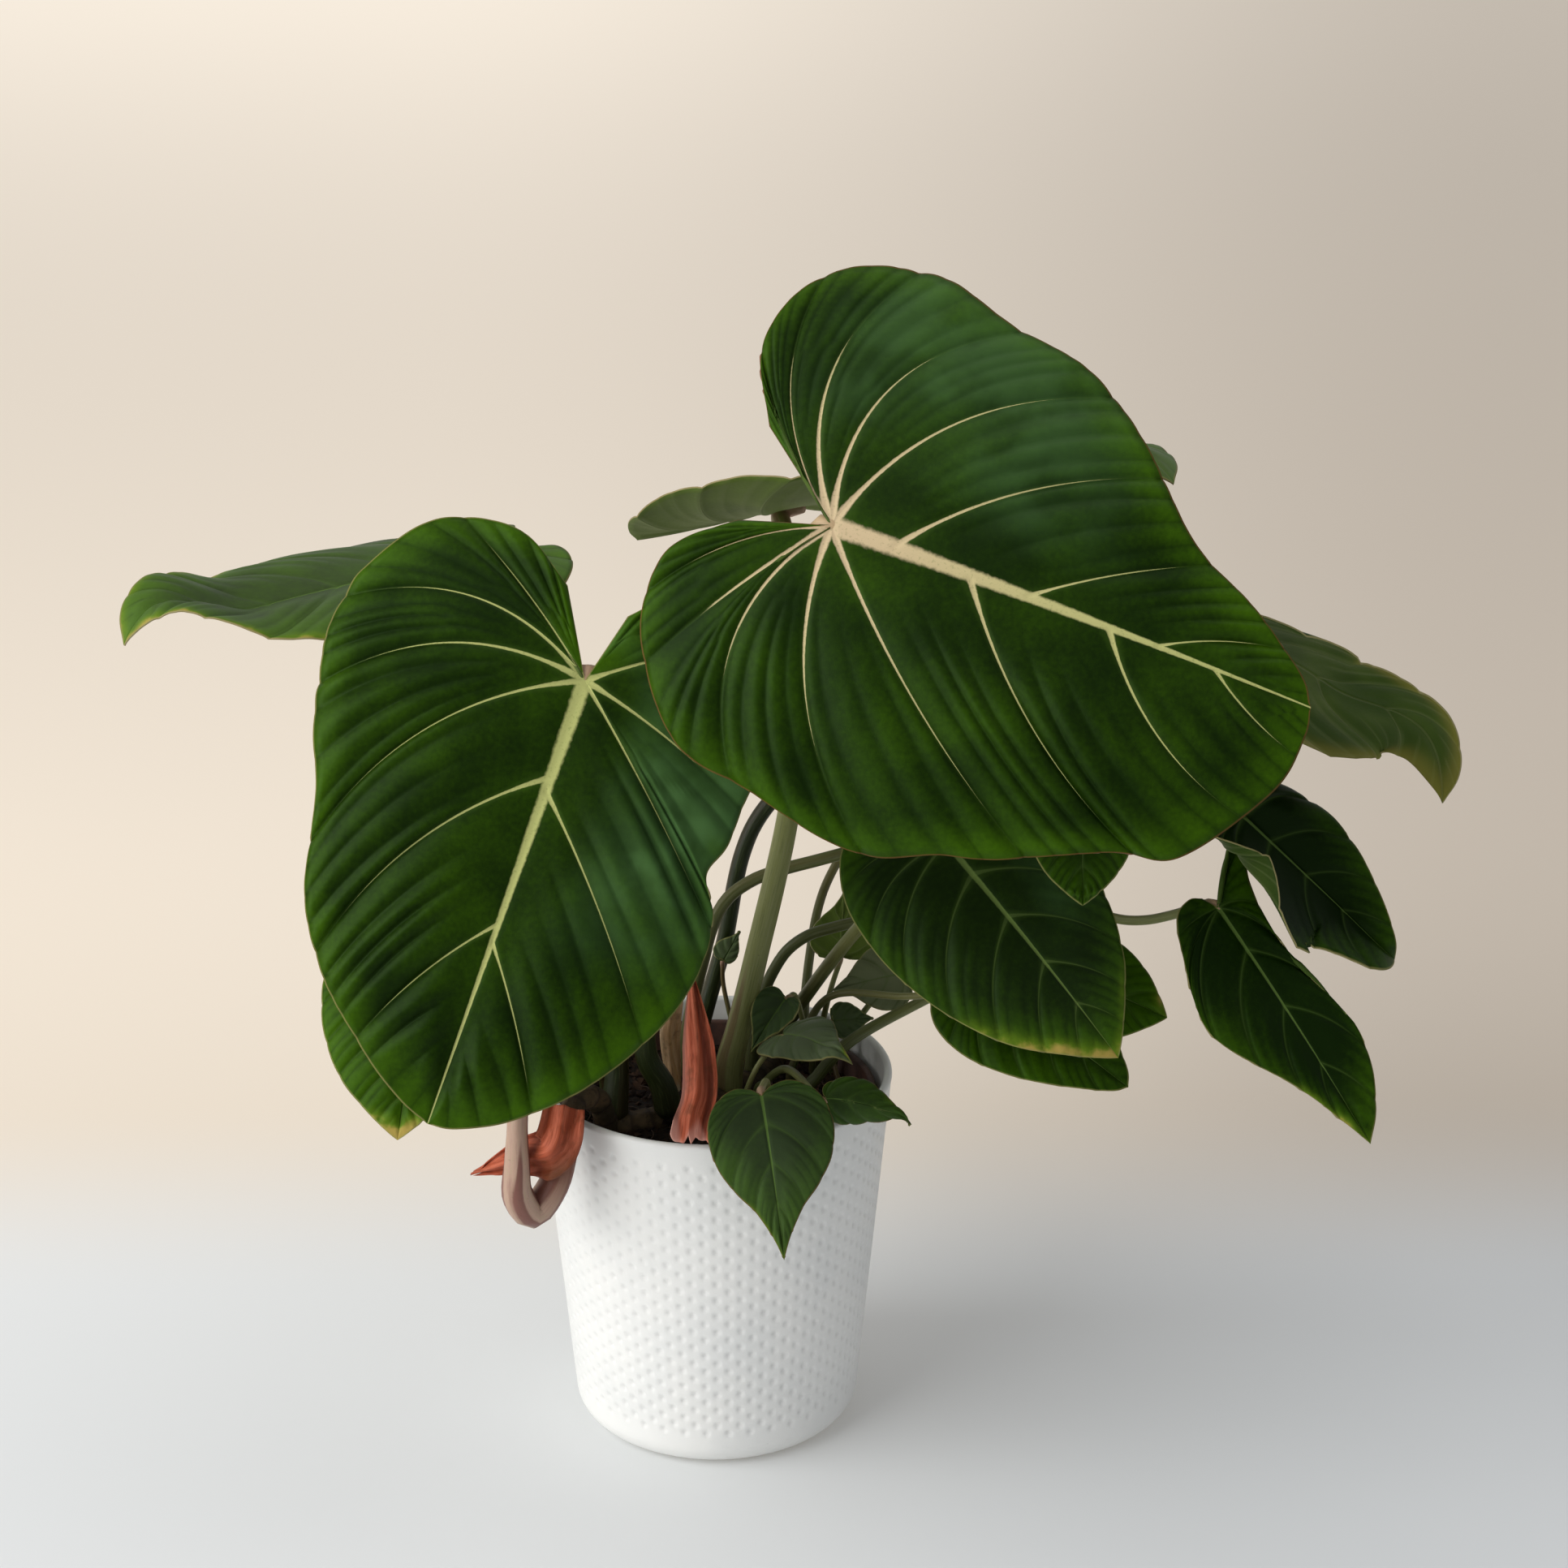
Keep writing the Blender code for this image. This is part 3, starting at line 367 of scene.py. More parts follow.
# How light each stalk is at its foot and at its top, from dark green to straw, and how wine red
# its streaks are.
STALK_TONES = {
    "others": (0.10, 0.40, 0.18),
    # The top of top_right's stalk is partly its own straw colour and partly painted light, lifted where
    # the leaves above shade it.
    "top_right": (0.00, 1.00, 0.12),
    "front_left": (0.00, 0.45, 0.15),
    "far_left": (0.45, 0.55, 1.00),
    "back": (0.46, 0.58, 0.60),
    "far_right": (-0.25, 0.25, 0.15),
    "right": (0.15, 0.45, 0.20),
    "low_left": (0.20, 0.40, 0.50),
    "middle": (0.15, 0.40, 0.12),
    "pleated": (0.20, 0.45, 0.25),
    "young_left": (0.10, 0.30, 0.60),
    "young_back": (0.10, 0.30, 0.50),
}


# ---------------------------------------------------------------- shader kit

def srgb(red, green, blue):
    """A colour as it is seen, from 0 to 255, as a shader takes it."""
    shares = (red / 255, green / 255, blue / 255)
    return tuple(s / 12.92 if s <= 0.04045 else ((s + 0.055) / 1.055) ** 2.4 for s in shares)


class Value:
    """A shader socket, with arithmetic that adds its Math nodes."""

    def __init__(self, finish, socket):
        self.finish = finish
        self.socket = socket

    def math(self, operation, *values):
        sockets = dict(enumerate(values))
        return self.finish.node("ShaderNodeMath", {"operation": operation}, sockets)

    def __add__(self, other):
        return self.math("ADD", self, other)

    def __sub__(self, other):
        return self.math("SUBTRACT", self, other)

    def __rsub__(self, other):
        return self.math("SUBTRACT", other, self)

    def __mul__(self, other):
        return self.math("MULTIPLY", self, other)

    __radd__ = __add__
    __rmul__ = __mul__

    def __truediv__(self, other):
        return self.math("DIVIDE", self, other)

    def eased(self, low, high):
        """0 at low and 1 at high, with a smooth step between them. low may be the greater."""
        limits = {"Value": self, "From Min": low, "From Max": high}
        return self.finish.node("ShaderNodeMapRange", {"interpolation_type": "SMOOTHSTEP"}, limits)

    def least(self, other):
        return self.math("MINIMUM", self, other)

    def most(self, other):
        return self.math("MAXIMUM", self, other)


class Finish:
    """A material around one Principled shader."""

    def __init__(self, name, roughness=0.5, constants=None):
        self.material = bpy.data.materials.new(name)
        self.material.use_nodes = True
        self.tree = self.material.node_tree
        self.shader = self.tree.nodes["Principled BSDF"]
        self.shader.inputs["Roughness"].default_value = roughness
        for socket, value in (constants or {}).items():
            self.shader.inputs[socket].default_value = value

    def node(self, kind, settings, sockets, output=0):
        """A node with its settings, and then the values or links of its sockets."""
        made = self.tree.nodes.new(kind)
        for setting, value in settings.items():
            setattr(made, setting, value)
        for socket, value in sockets.items():
            if isinstance(value, Value):
                self.tree.links.new(value.socket, made.inputs[socket])
            else:
                made.inputs[socket].default_value = value
        return Value(self, made.outputs[output])

    def mix(self, share, first, second):
        """A colour between two, each a socket or three numbers."""
        first, second = (c if isinstance(c, Value) else (*c, 1.0) for c in (first, second))
        sockets = {0: share, 6: first, 7: second}
        return self.node("ShaderNodeMix", {"data_type": "RGBA"}, sockets, output=2)

    def attribute(self, name, output="Fac"):
        return self.node("ShaderNodeAttribute", {"attribute_name": name}, {}, output)

    def stretched(self, spot, stretch):
        return self.node("ShaderNodeMapping", {}, {"Vector": spot, "Scale": stretch})

    def place(self, stretch=(1.0, 1.0, 1.0)):
        """Object coordinates, stretched along each axis."""
        return self.stretched(self.node("ShaderNodeTexCoord", {}, {}, "Object"), stretch)

    def noise(self, spot, scale, detail=3.0, rough=0.55):
        sockets = {"Vector": spot, "Scale": scale, "Detail": detail, "Roughness": rough}
        return self.node("ShaderNodeTexNoise", {}, sockets)

    def cells(self, spot, scale):
        return self.node("ShaderNodeTexVoronoi", {}, {"Vector": spot, "Scale": scale})

    def paint(self, color, roughness=None, height=None, depth=0.0005, strength=1.0):
        """Gives the shader its colour, its roughness and a fine relief."""
        self.join(color, "Base Color")
        if roughness is not None:
            self.join(roughness, "Roughness")
        if height is not None:
            bump = {"Height": height, "Distance": depth, "Strength": strength}
            self.join(self.node("ShaderNodeBump", {}, bump), "Normal")
        return self.material

    def join(self, value, socket):
        self.tree.links.new(value.socket, self.shader.inputs[socket])


# ---------------------------------------------------------------- mesh kit

def coordinates(mesh):
    flat = np.empty(len(mesh.vertices) * 3, np.float32)
    mesh.vertices.foreach_get("co", flat)
    return flat.reshape(-1, 3).astype(float)


def set_coordinates(mesh, points):
    mesh.vertices.foreach_set("co", np.asarray(points, np.float32).ravel())
    mesh.update()


def set_attributes(mesh, **attributes):
    """Gives every vertex a number for each name, or one number for them all."""
    for name, values in attributes.items():
        made = mesh.attributes.new(name, "FLOAT", "POINT")
        spread = np.broadcast_to(values, len(mesh.vertices))
        made.data.foreach_set("value", spread.astype(np.float32))


def get_attribute(mesh, name):
    values = np.empty(len(mesh.vertices), np.float32)
    mesh.attributes[name].data.foreach_get("value", values)
    return values


def set_grain(mesh, *axes):
    """The place of every vertex in its own material: across it, through it and along it."""
    made = mesh.attributes.new("grain", "FLOAT_VECTOR", "POINT")
    made.data.foreach_set("vector", np.stack(axes, axis=1).astype(np.float32).ravel())


def finished(name, shape):
    """The mesh of a bmesh, which is freed."""
    mesh = bpy.data.meshes.new(name)
    shape.to_mesh(mesh)
    shape.free()
    return mesh


def grid_mesh(name, columns, rows, size=1.0):
    """A flat grid, with each vertex's column and row."""
    grid = bmesh.new()
    bmesh.ops.create_grid(grid, x_segments=columns, y_segments=rows, size=size)
    mesh = finished(name, grid)
    spot = coordinates(mesh)
    column = np.rint((spot[:, 0] / size + 1) / 2 * columns).astype(int)
    row = np.rint((spot[:, 1] / size + 1) / 2 * rows).astype(int)
    return mesh, column, row


WELD_DISTANCE = 0.00002
TURNED_WELD_DISTANCE = 0.000005


def weld(mesh, closed=False, flipped=False):
    """Joins the seams. Where asked, it closes the open ends or turns the faces over."""
    welded = bmesh.new()
    welded.from_mesh(mesh)
    bmesh.ops.remove_doubles(welded, verts=welded.verts, dist=WELD_DISTANCE)
    if closed:
        ends = [edge for edge in welded.edges if edge.is_boundary]
        bmesh.ops.holes_fill(welded, edges=ends)
        bmesh.ops.recalc_face_normals(welded, faces=welded.faces)
    if flipped:
        bmesh.ops.reverse_faces(welded, faces=welded.faces)
    welded.to_mesh(mesh)
    welded.free()
    mesh.shade_smooth()


def placed(name, data):
    """A new object in the scene."""
    obj = bpy.data.objects.new(name, data)
    bpy.context.scene.collection.objects.link(obj)
    return obj


def piece(name, mesh, finishes, slot, *nodes):
    """Shows a mesh as one piece that stands for CAD nodes."""
    obj = placed(name, mesh)
    for finish in finishes:
        mesh.materials.append(finish)
    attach(obj, "root")
    if nodes:
        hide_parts(*nodes)
    return obj


def thicken(obj, thickness, offset=-1.0, below=0, edge=0):
    wall = obj.modifiers.new("Thickness", "SOLIDIFY")
    wall.thickness = thickness
    wall.offset = offset
    wall.material_offset = below
    wall.material_offset_rim = edge


def unit(vectors):
    return vectors / np.linalg.norm(vectors, axis=-1, keepdims=True)


def eased(values, low, high):
    """0 at low and 1 at high, with a smooth step between them."""
    share = np.clip((values - low) / (high - low), 0, 1)
    return share * share * (3 - 2 * share)


def ripple(points, scale, seed):
    """A smooth, irregular relief between about -1 and 1, from a few crossing waves."""
    draw = np.random.default_rng(seed)
    total = np.zeros(len(points))
    for octave in (1.0, 1.7, 2.9):
        direction = unit(draw.normal(size=3))
        swerve = unit(draw.normal(size=3))
        wave = points @ direction * scale * octave + draw.uniform(0, 6.3)
        total += np.sin(wave + 1.6 * np.sin(points @ swerve * scale * octave * 0.7)) / octave
    return total / 1.9


def run_along(path):
    """How far along a path each of its points is."""
    return np.append(0, np.cumsum(np.linalg.norm(np.diff(path, axis=0), axis=1)))


def smooth_path(points, count):
    """Evenly spaced points on a smooth curve that passes through the given ones."""
    knots = np.array(points, float)
    knots = np.vstack([2 * knots[0] - knots[1], knots, 2 * knots[-1] - knots[-2]])
    fine = []
    for a, b, c, d in zip(knots, knots[1:], knots[2:], knots[3:]):
        for u in np.linspace(0, 1, 12, endpoint=False):
            curve = 2 * b + (c - a) * u + (2 * a - 5 * b + 4 * c - d) * u**2
            fine.append((curve + (3 * b - a - 3 * c + d) * u**3) / 2)
    fine.append(knots[-2])
    fine = np.array(fine)
    run = run_along(fine)
    steps = np.linspace(0, run[-1], count)
    return np.stack([np.interp(steps, run, column) for column in fine.T], axis=1)


def rings_along(path):
    """Two unit vectors square to a path at each of its points, which don't twist about it."""
    ahead = unit(np.gradient(path, axis=0))
    side = np.cross(ahead[0], (0.0, 0.0, 1.0))
    if np.linalg.norm(side) < 0.1:
        side = np.cross(ahead[0], (0.0, 1.0, 0.0))
    sides = []
    for step in ahead:
        side = side - step * side.dot(step)
        side = side / np.linalg.norm(side)
        sides.append(side)
    sides = np.array(sides)
    return sides, np.cross(ahead, sides)


def tube_mesh(name, path, radii, sides, ridges=0.0, seed=1):
    """A closed tube along a path. Its grain attribute runs round it and along it."""
    rows = len(path) - 1
    mesh, column, row = grid_mesh(name, sides, rows)
    side, up = rings_along(path)
    turn = column / sides * 2 * math.pi
    run = run_along(path)[row]
    radius = np.asarray(radii)[row]
    ridge = 1 + ridges * np.sin(turn * 5 + seed + 6 * np.sin(run * 9)) * np.sin(turn * 2 + seed)
    spot = side[row] * np.cos(turn)[:, None] + up[row] * np.sin(turn)[:, None]
    set_coordinates(mesh, path[row] + spot * (radius * ridge)[:, None])
    set_grain(mesh, np.cos(turn) * radius, np.sin(turn) * radius, run + seed)
    set_attributes(mesh, run=row / rows)
    weld(mesh, closed=True)
    return mesh


def lathe_mesh(name, profile, steps):
    """A closed solid of revolution, from (radius, height) points that run down its outer side."""
    turned = bmesh.new()
    points = [turned.verts.new((radius, 0.0, height)) for radius, height in profile]
    edges = [turned.edges.new(ends) for ends in zip(points, points[1:])]
    bmesh.ops.spin(
        turned, geom=points + edges, cent=(0, 0, 0), axis=(0, 0, 1), angle=2 * math.pi,
        steps=steps, use_merge=True,
    )
    bmesh.ops.remove_doubles(turned, verts=turned.verts, dist=TURNED_WELD_DISTANCE)
    bmesh.ops.recalc_face_normals(turned, faces=turned.faces)
    mesh = finished(name, turned)
    mesh.shade_smooth()
    return mesh


def arc(centre, radius, start, end, count):
    """(radius, height) points of a rounding, between two angles in degrees."""
    angles = [math.radians(start + (end - start) * i / count) for i in range(count + 1)]
    return [(centre[0] + radius * math.cos(a), centre[1] + radius * math.sin(a)) for a in angles]


def pot_side_radius(height):
    """Outer radius of the cover pot's straight side at a height."""
    share = (height - POT_FOOT_ROUNDING) / (POT_HEIGHT - POT_FOOT_ROUNDING)
    return POT_SIDE_RADIUS + (POT_RIM_RADIUS - POT_SIDE_RADIUS) * share


def grow_pot_radius(height):
    return pot_side_radius(height) - POT_WALL - GROW_POT_CLEARANCE - GROW_POT_LIP


def soil_height(x, y):
    """Height of the soil, which crowns a little in the middle."""
    reach = np.minimum(1.0, np.hypot(x, y) / POT_RIM_RADIUS)
    return POT_HEIGHT - SOIL_DROP + SOIL_CROWN * (1 - reach**2)


# ---------------------------------------------------------------- finishes

def glaze_finish():
    """Satin white glaze over the pot's small dents, with painted shade in each dent and browner smears
    and a brown line inside the rim.
    """
    glaze = Finish("satin_white_glaze", 0.42, {"Coat Weight": 0.15, "Coat Roughness": 0.30})
    spot = glaze.place()
    cloud = glaze.noise(spot, 22.0, 3.0)
    grain = glaze.noise(spot, 900.0, 2.0)
    color = glaze.mix(cloud.eased(0.35, 0.7), srgb(236, 236, 233), srgb(229, 230, 228))
    # Painted shade: each dent is tinted a darker grey.
    color = glaze.mix(glaze.attribute("dent") * 0.12, color, srgb(172, 174, 172))
    color = glaze.mix(grain.eased(0.74, 0.82) * 0.35, color, srgb(190, 188, 182))
    # Browner in smears on the inner wall and along a line inside the rim.
    color = glaze.mix(glaze.attribute("dirt"), color, srgb(120, 98, 78))
    return glaze.paint(color, grain * 0.10 + 0.38, grain + cloud * 0.6, 0.00008, 0.5)


def nursery_finish():
    """Dull terracotta-brown plastic."""
    plastic = Finish("brown_nursery_plastic", 0.6)
    spot = plastic.place()
    scuff = plastic.noise(spot, 130.0, 4.0)
    color = plastic.mix(scuff.eased(0.35, 0.7), srgb(84, 52, 40), srgb(60, 38, 30))
    return plastic.paint(color, scuff * 0.3 + 0.45, scuff, 0.0002, 0.4)


def soil_finish():
    """Moist bark and coir, almost black between the crumbs."""
    soil = Finish("moist_potting_mix", 0.9, {"Specular IOR Level": 0.2})
    spot = soil.place()
    crumbs = soil.cells(spot, 330.0)
    dust = soil.noise(spot, 700.0, 4.0)
    color = soil.mix(dust.eased(0.3, 0.75), srgb(14, 8, 3), srgb(44, 29, 17))
    color = soil.mix(crumbs.eased(0.55, 0.1) * 0.6, color, srgb(18, 12, 9))
    return soil.paint(color, dust * 0.3 + 0.65, crumbs + dust * 0.5, 0.0012, 1.0)


def chip_finish():
    """Bark chips, from dark brown to a dry tan."""
    chip = Finish("bark_chips", 0.85, {"Specular IOR Level": 0.2})
    spot = chip.place()
    patch = chip.noise(spot, 160.0, 2.0)
    fibre = chip.noise(chip.place((1.0, 1.0, 4.0)), 500.0, 3.0)
    color = chip.mix(patch.eased(0.35, 0.75), srgb(26, 16, 11), srgb(72, 50, 35))
    color = chip.mix(fibre.eased(0.45, 0.7) * 0.5, color, srgb(24, 15, 11))
    return chip.paint(color, None, fibre, 0.0006, 0.8)


def rhizome_finish():
    """Green-brown creeping stem with corky rings."""
    bark = Finish("corky_rhizome", 0.75, {"Specular IOR Level": 0.25})
    grain = bark.attribute("grain", "Vector")
    cork = bark.noise(grain, 420.0, 4.0)
    patch = bark.noise(grain, 90.0, 2.0)
    color = bark.mix(patch.eased(0.35, 0.65), srgb(50, 42, 26), srgb(80, 64, 42))
    color = bark.mix(cork.eased(0.5, 0.7) * 0.7, color, srgb(40, 27, 20))
    color = bark.mix(bark.attribute("ring") * 0.8, color, srgb(34, 22, 16))
    stripe = bark.noise(bark.stretched(grain, (1.0, 1.0, 0.05)), 420.0, 2.0).eased(0.45, 0.6)
    skin = bark.mix(stripe, srgb(196, 158, 144), srgb(128, 82, 78))
    skin = bark.mix(cork.eased(0.62, 0.72) * 0.6, skin, srgb(92, 62, 48))
    color = bark.mix(bark.attribute("fresh"), color, skin)
    return bark.paint(color, None, cork, 0.0008, 0.8)


def leaf_finish():
    """Velvet upper side: deep green with cream veins, yellower towards the margin, with painted light on
    the pleat crests, painted shade in their creases and a painted bluish sheen.
    """
    leaf = Finish("velvet_leaf", 0.5, {
        "Sheen Weight": 0.012, "Sheen Roughness": 0.4, "Sheen Tint": (0.55, 0.85, 0.55, 1.0),
        "Specular IOR Level": 0.16, "Specular Tint": (0.5, 0.85, 0.35, 1.0),
    })
    spot = leaf.place()
    tone = leaf.attribute("tone")
    margin = leaf.attribute("margin")
    broad = leaf.noise(spot, 24.0, 2.0)
    fine = leaf.noise(spot, 420.0, 3.0)
    velvet = leaf.noise(spot, 2600.0, 2.0)
    pleat = leaf.attribute("pleat")
    light = (broad - 0.5) * 0.65 + (fine - 0.5) * 0.30 + tone + margin.eased(24.0, 0.0) * 0.30
    # Painted light and shade: lighter on the pleat crests, darker towards their creases.
    light = light + (pleat - 0.5) * 0.14
    color = leaf.mix(light.eased(-0.1, 0.95), srgb(8, 24, 0), srgb(62, 98, 4))
    bloom = leaf.mix(tone, srgb(84, 98, 72), srgb(168, 166, 132))
    color = leaf.mix(leaf.attribute("grey") * 0.85, color, bloom)
    # Painted shade in the creases between the pleats.
    color = leaf.mix(leaf.attribute("crease").eased(1.0, 0.0) * 0.28, color, srgb(10, 28, 0))
    # Painted sheen: a bluish highlight in soft patches on the right half of a few blades.
    satin = leaf.attribute("satin") * (leaf.noise(spot, 34.0, 3.0).eased(0.35, 0.65) * 0.6 + 0.4)
    color = leaf.mix(satin, color, srgb(66, 98, 54))
    halo = leaf.attribute("vein").eased(4.0, 0.8) * 0.12
    color = leaf.mix(halo, color, srgb(80, 108, 40))
    flecks = leaf.noise(spot, 900.0, 2.0).eased(0.56, 0.72)
    base = leaf.attribute("base")
    pale = leaf.attribute("pale")
    rib = leaf.attribute("rib") + (fine - 0.5) * 0.5
    vein = leaf.attribute("vein") + (fine - 0.5) * 0.5
    cream = leaf.mix(leaf.attribute("blush") * base, srgb(176, 178, 112), srgb(196, 174, 140))
    cream = leaf.mix(flecks * 0.30, cream, srgb(86, 104, 50))
    line = leaf.mix(pale, srgb(78, 106, 50), cream)
    color = leaf.mix(vein.eased(1.15, 0.55) * (pale * 0.86 + 0.14), color, line)
    line = leaf.mix(pale, srgb(98, 126, 60), cream)
    color = leaf.mix(rib.eased(1.15, 0.55) * (pale * 0.42 + 0.58), color, line)
    age = leaf.attribute("worn") * ((leaf.noise(spot, 75.0, 4.0) - 0.5) * 2.8 + 0.95)
    yellow = leaf.mix(age.eased(0.45, 0.95), srgb(92, 118, 26), srgb(168, 146, 74))
    color = leaf.mix(age.eased(0.05, 0.75), color, yellow)
    color = leaf.mix(margin.eased(0.9, 0.4) * 0.6, color, edge_color(leaf))
    return leaf.paint(color, velvet * 0.14 + 0.36, velvet + fine * 0.6, 0.00012, 0.45)


def edge_color(leaf):
    """The thin line along a margin, from pale green to red-brown."""
    return leaf.mix(leaf.attribute("red_edge"), srgb(146, 144, 88), srgb(112, 62, 40))


def edge_finish():
    edge = Finish("leaf_margin", 0.5)
    return edge.paint(edge_color(edge))


def underside_finish():
    """Dull grey-green underside, with raised paler veins."""
    under = Finish("leaf_underside", 0.6, {
        "Sheen Weight": 0.01, "Sheen Roughness": 0.5, "Specular IOR Level": 0.12,
    })
    spot = under.place()
    broad = under.noise(spot, 30.0, 2.0)
    fine = under.noise(spot, 600.0, 3.0)
    light = (broad - 0.5) * 0.8 + under.attribute("tone") * 0.8 + under.attribute("grey") * 0.4
    color = under.mix(light.eased(-0.2, 0.8), srgb(46, 68, 16), srgb(100, 120, 50))
    lines = under.attribute("vein").least(under.attribute("rib"))
    color = under.mix(lines.eased(1.5, 0.7) * 0.22, color, srgb(124, 130, 84))
    color = under.mix(under.attribute("pleat").eased(0.4, 0.0) * 0.25, color, srgb(112, 124, 76))
    color = under.mix(under.attribute("worn") * 0.8, color, srgb(150, 138, 60))
    height = fine * 0.4 + lines.eased(2.0, 0.5)
    return under.paint(color, fine * 0.2 + 0.5, height, 0.0004, 0.5)


def stalk_finish():
    """Leaf stalk: olive green with fine pale and wine-dark streaks along it."""
    stalk = Finish("streaked_stalk", 0.42, {"Specular IOR Level": 0.35})
    grain = stalk.attribute("grain", "Vector")
    along = stalk.stretched(grain, (1.0, 1.0, 0.04))
    broad = stalk.noise(along, 130.0, 1.0)
    thin = stalk.noise(along, 1500.0, 3.0)
    speck = stalk.noise(grain, 700.0, 2.0)
    tone = stalk.attribute("tone")
    color = stalk.mix(tone, srgb(34, 46, 12), srgb(186, 190, 116))
    wine = stalk.attribute("wine")
    hooked = wine.eased(0.8, 1.0)
    color = stalk.mix(hooked * 0.9, color, srgb(184, 150, 134))
    pale = stalk.mix(tone, srgb(96, 108, 66), srgb(196, 192, 150))
    color = stalk.mix(thin.eased(0.5, 0.72) * 0.35, color, pale)
    dark = stalk.mix(hooked, srgb(40, 48, 22), srgb(132, 96, 92))
    color = stalk.mix(thin.eased(0.5, 0.3) * 0.30, color, dark)
    stripe = (broad - 0.5 + wine * 0.09).eased(0.0, 0.08) * wine
    color = stalk.mix(stripe * 0.8, color, srgb(104, 50, 44))
    color = stalk.mix(speck.eased(0.66, 0.76) * 0.35, color, srgb(66, 56, 40))
    run = stalk.attribute("run")
    color = stalk.mix(wine.eased(0.9, 1.0) * run.eased(0.11, 0.02), color, srgb(110, 58, 36))
    foot = run.eased(0.12, 0.0) * wine.eased(0.9, 0.6)
    color = stalk.mix(foot * 0.25, color, srgb(58, 46, 32))
    color = stalk.mix(stalk.attribute("knuckle") * 0.75, color, srgb(176, 138, 116))
    return stalk.paint(color, thin * 0.25 + 0.32, thin + speck * 0.5, 0.0002, 0.5)


# The pale, deep, dark and brown shades of each kind of bract, and its lip.
BRACTS = {
    "red": ((202, 108, 78), (170, 78, 48), (88, 34, 20), (96, 54, 26), (226, 168, 152)),
    # The tan shades are partly the dry bract's own pale tan and partly painted light, lifted where the
    # crown shades it.
    "tan": ((236, 196, 150), (214, 168, 118), (156, 112, 70), (96, 66, 46), (232, 220, 190)),
}


def bract_finish(kind):
    """A papery bract with long fibres, darker where it is old, with painted shade in the hollows of its
    folds.
    """
    pale, deep, dark, brown, lip = (srgb(*shade) for shade in BRACTS[kind])
    bract = Finish(kind + "_bract", 0.55, {"Sheen Weight": 0.02, "Specular IOR Level": 0.25})
    grain = bract.attribute("grain", "Vector")
    along = bract.stretched(grain, (1.0, 1.0, 0.08))
    fibre = bract.noise(along, 1500.0, 3.0)
    band = bract.noise(along, 420.0, 2.0)
    blotch = bract.noise(grain, 130.0, 3.0)
    color = bract.mix(band.eased(0.35, 0.65), pale, deep)
    color = bract.mix(fibre.eased(0.5, 0.75) * 0.5, color, dark)
    # Painted shade in the hollows between the folds.
    color = bract.mix(bract.attribute("fold").eased(0.0, 1.0) * 0.75, color, dark)
    color = bract.mix(blotch.eased(0.55, 0.72) * 0.5, color, brown)
    color = bract.mix(bract.attribute("lip") * 0.7, color, lip)
    color = bract.mix(bract.attribute("rot") * 0.9, color, brown)
    return bract.paint(color, fibre * 0.3 + 0.4, fibre + band, 0.0005, 0.7)


def root_finish():
    root = Finish("dry_roots", 0.8)
    fur = root.noise(root.attribute("grain", "Vector"), 800.0, 3.0)
    color = root.mix(fur.eased(0.35, 0.7), srgb(74, 52, 36), srgb(38, 25, 18))
    return root.paint(color, None, fur, 0.0005, 0.8)


# ---------------------------------------------------------------- the pots and the soil

POT_STEPS = 504
POT_SIDE_ROWS = 148
POT_INNER_ROUNDING = 0.008
DENTS_AROUND = 42
DENT_RISE = 0.00445  # from one staggered row to the next
DENT_ROWS = 34
DENT_FIRST = 0.0205
DENT_RADIUS = 0.0023
DENT_DEPTH = 0.00090
# A brown line inside the rim, where the grow pot's lip sits.
BROWN_LINE_DROP = 0.0085
BROWN_LINE_WIDTH = 0.002
GROW_POT_STEPS = 144
GROW_POT_FLOOR = 0.002
GROW_POT_DRAIN = 0.009
GROW_POT_CORNER = 0.004


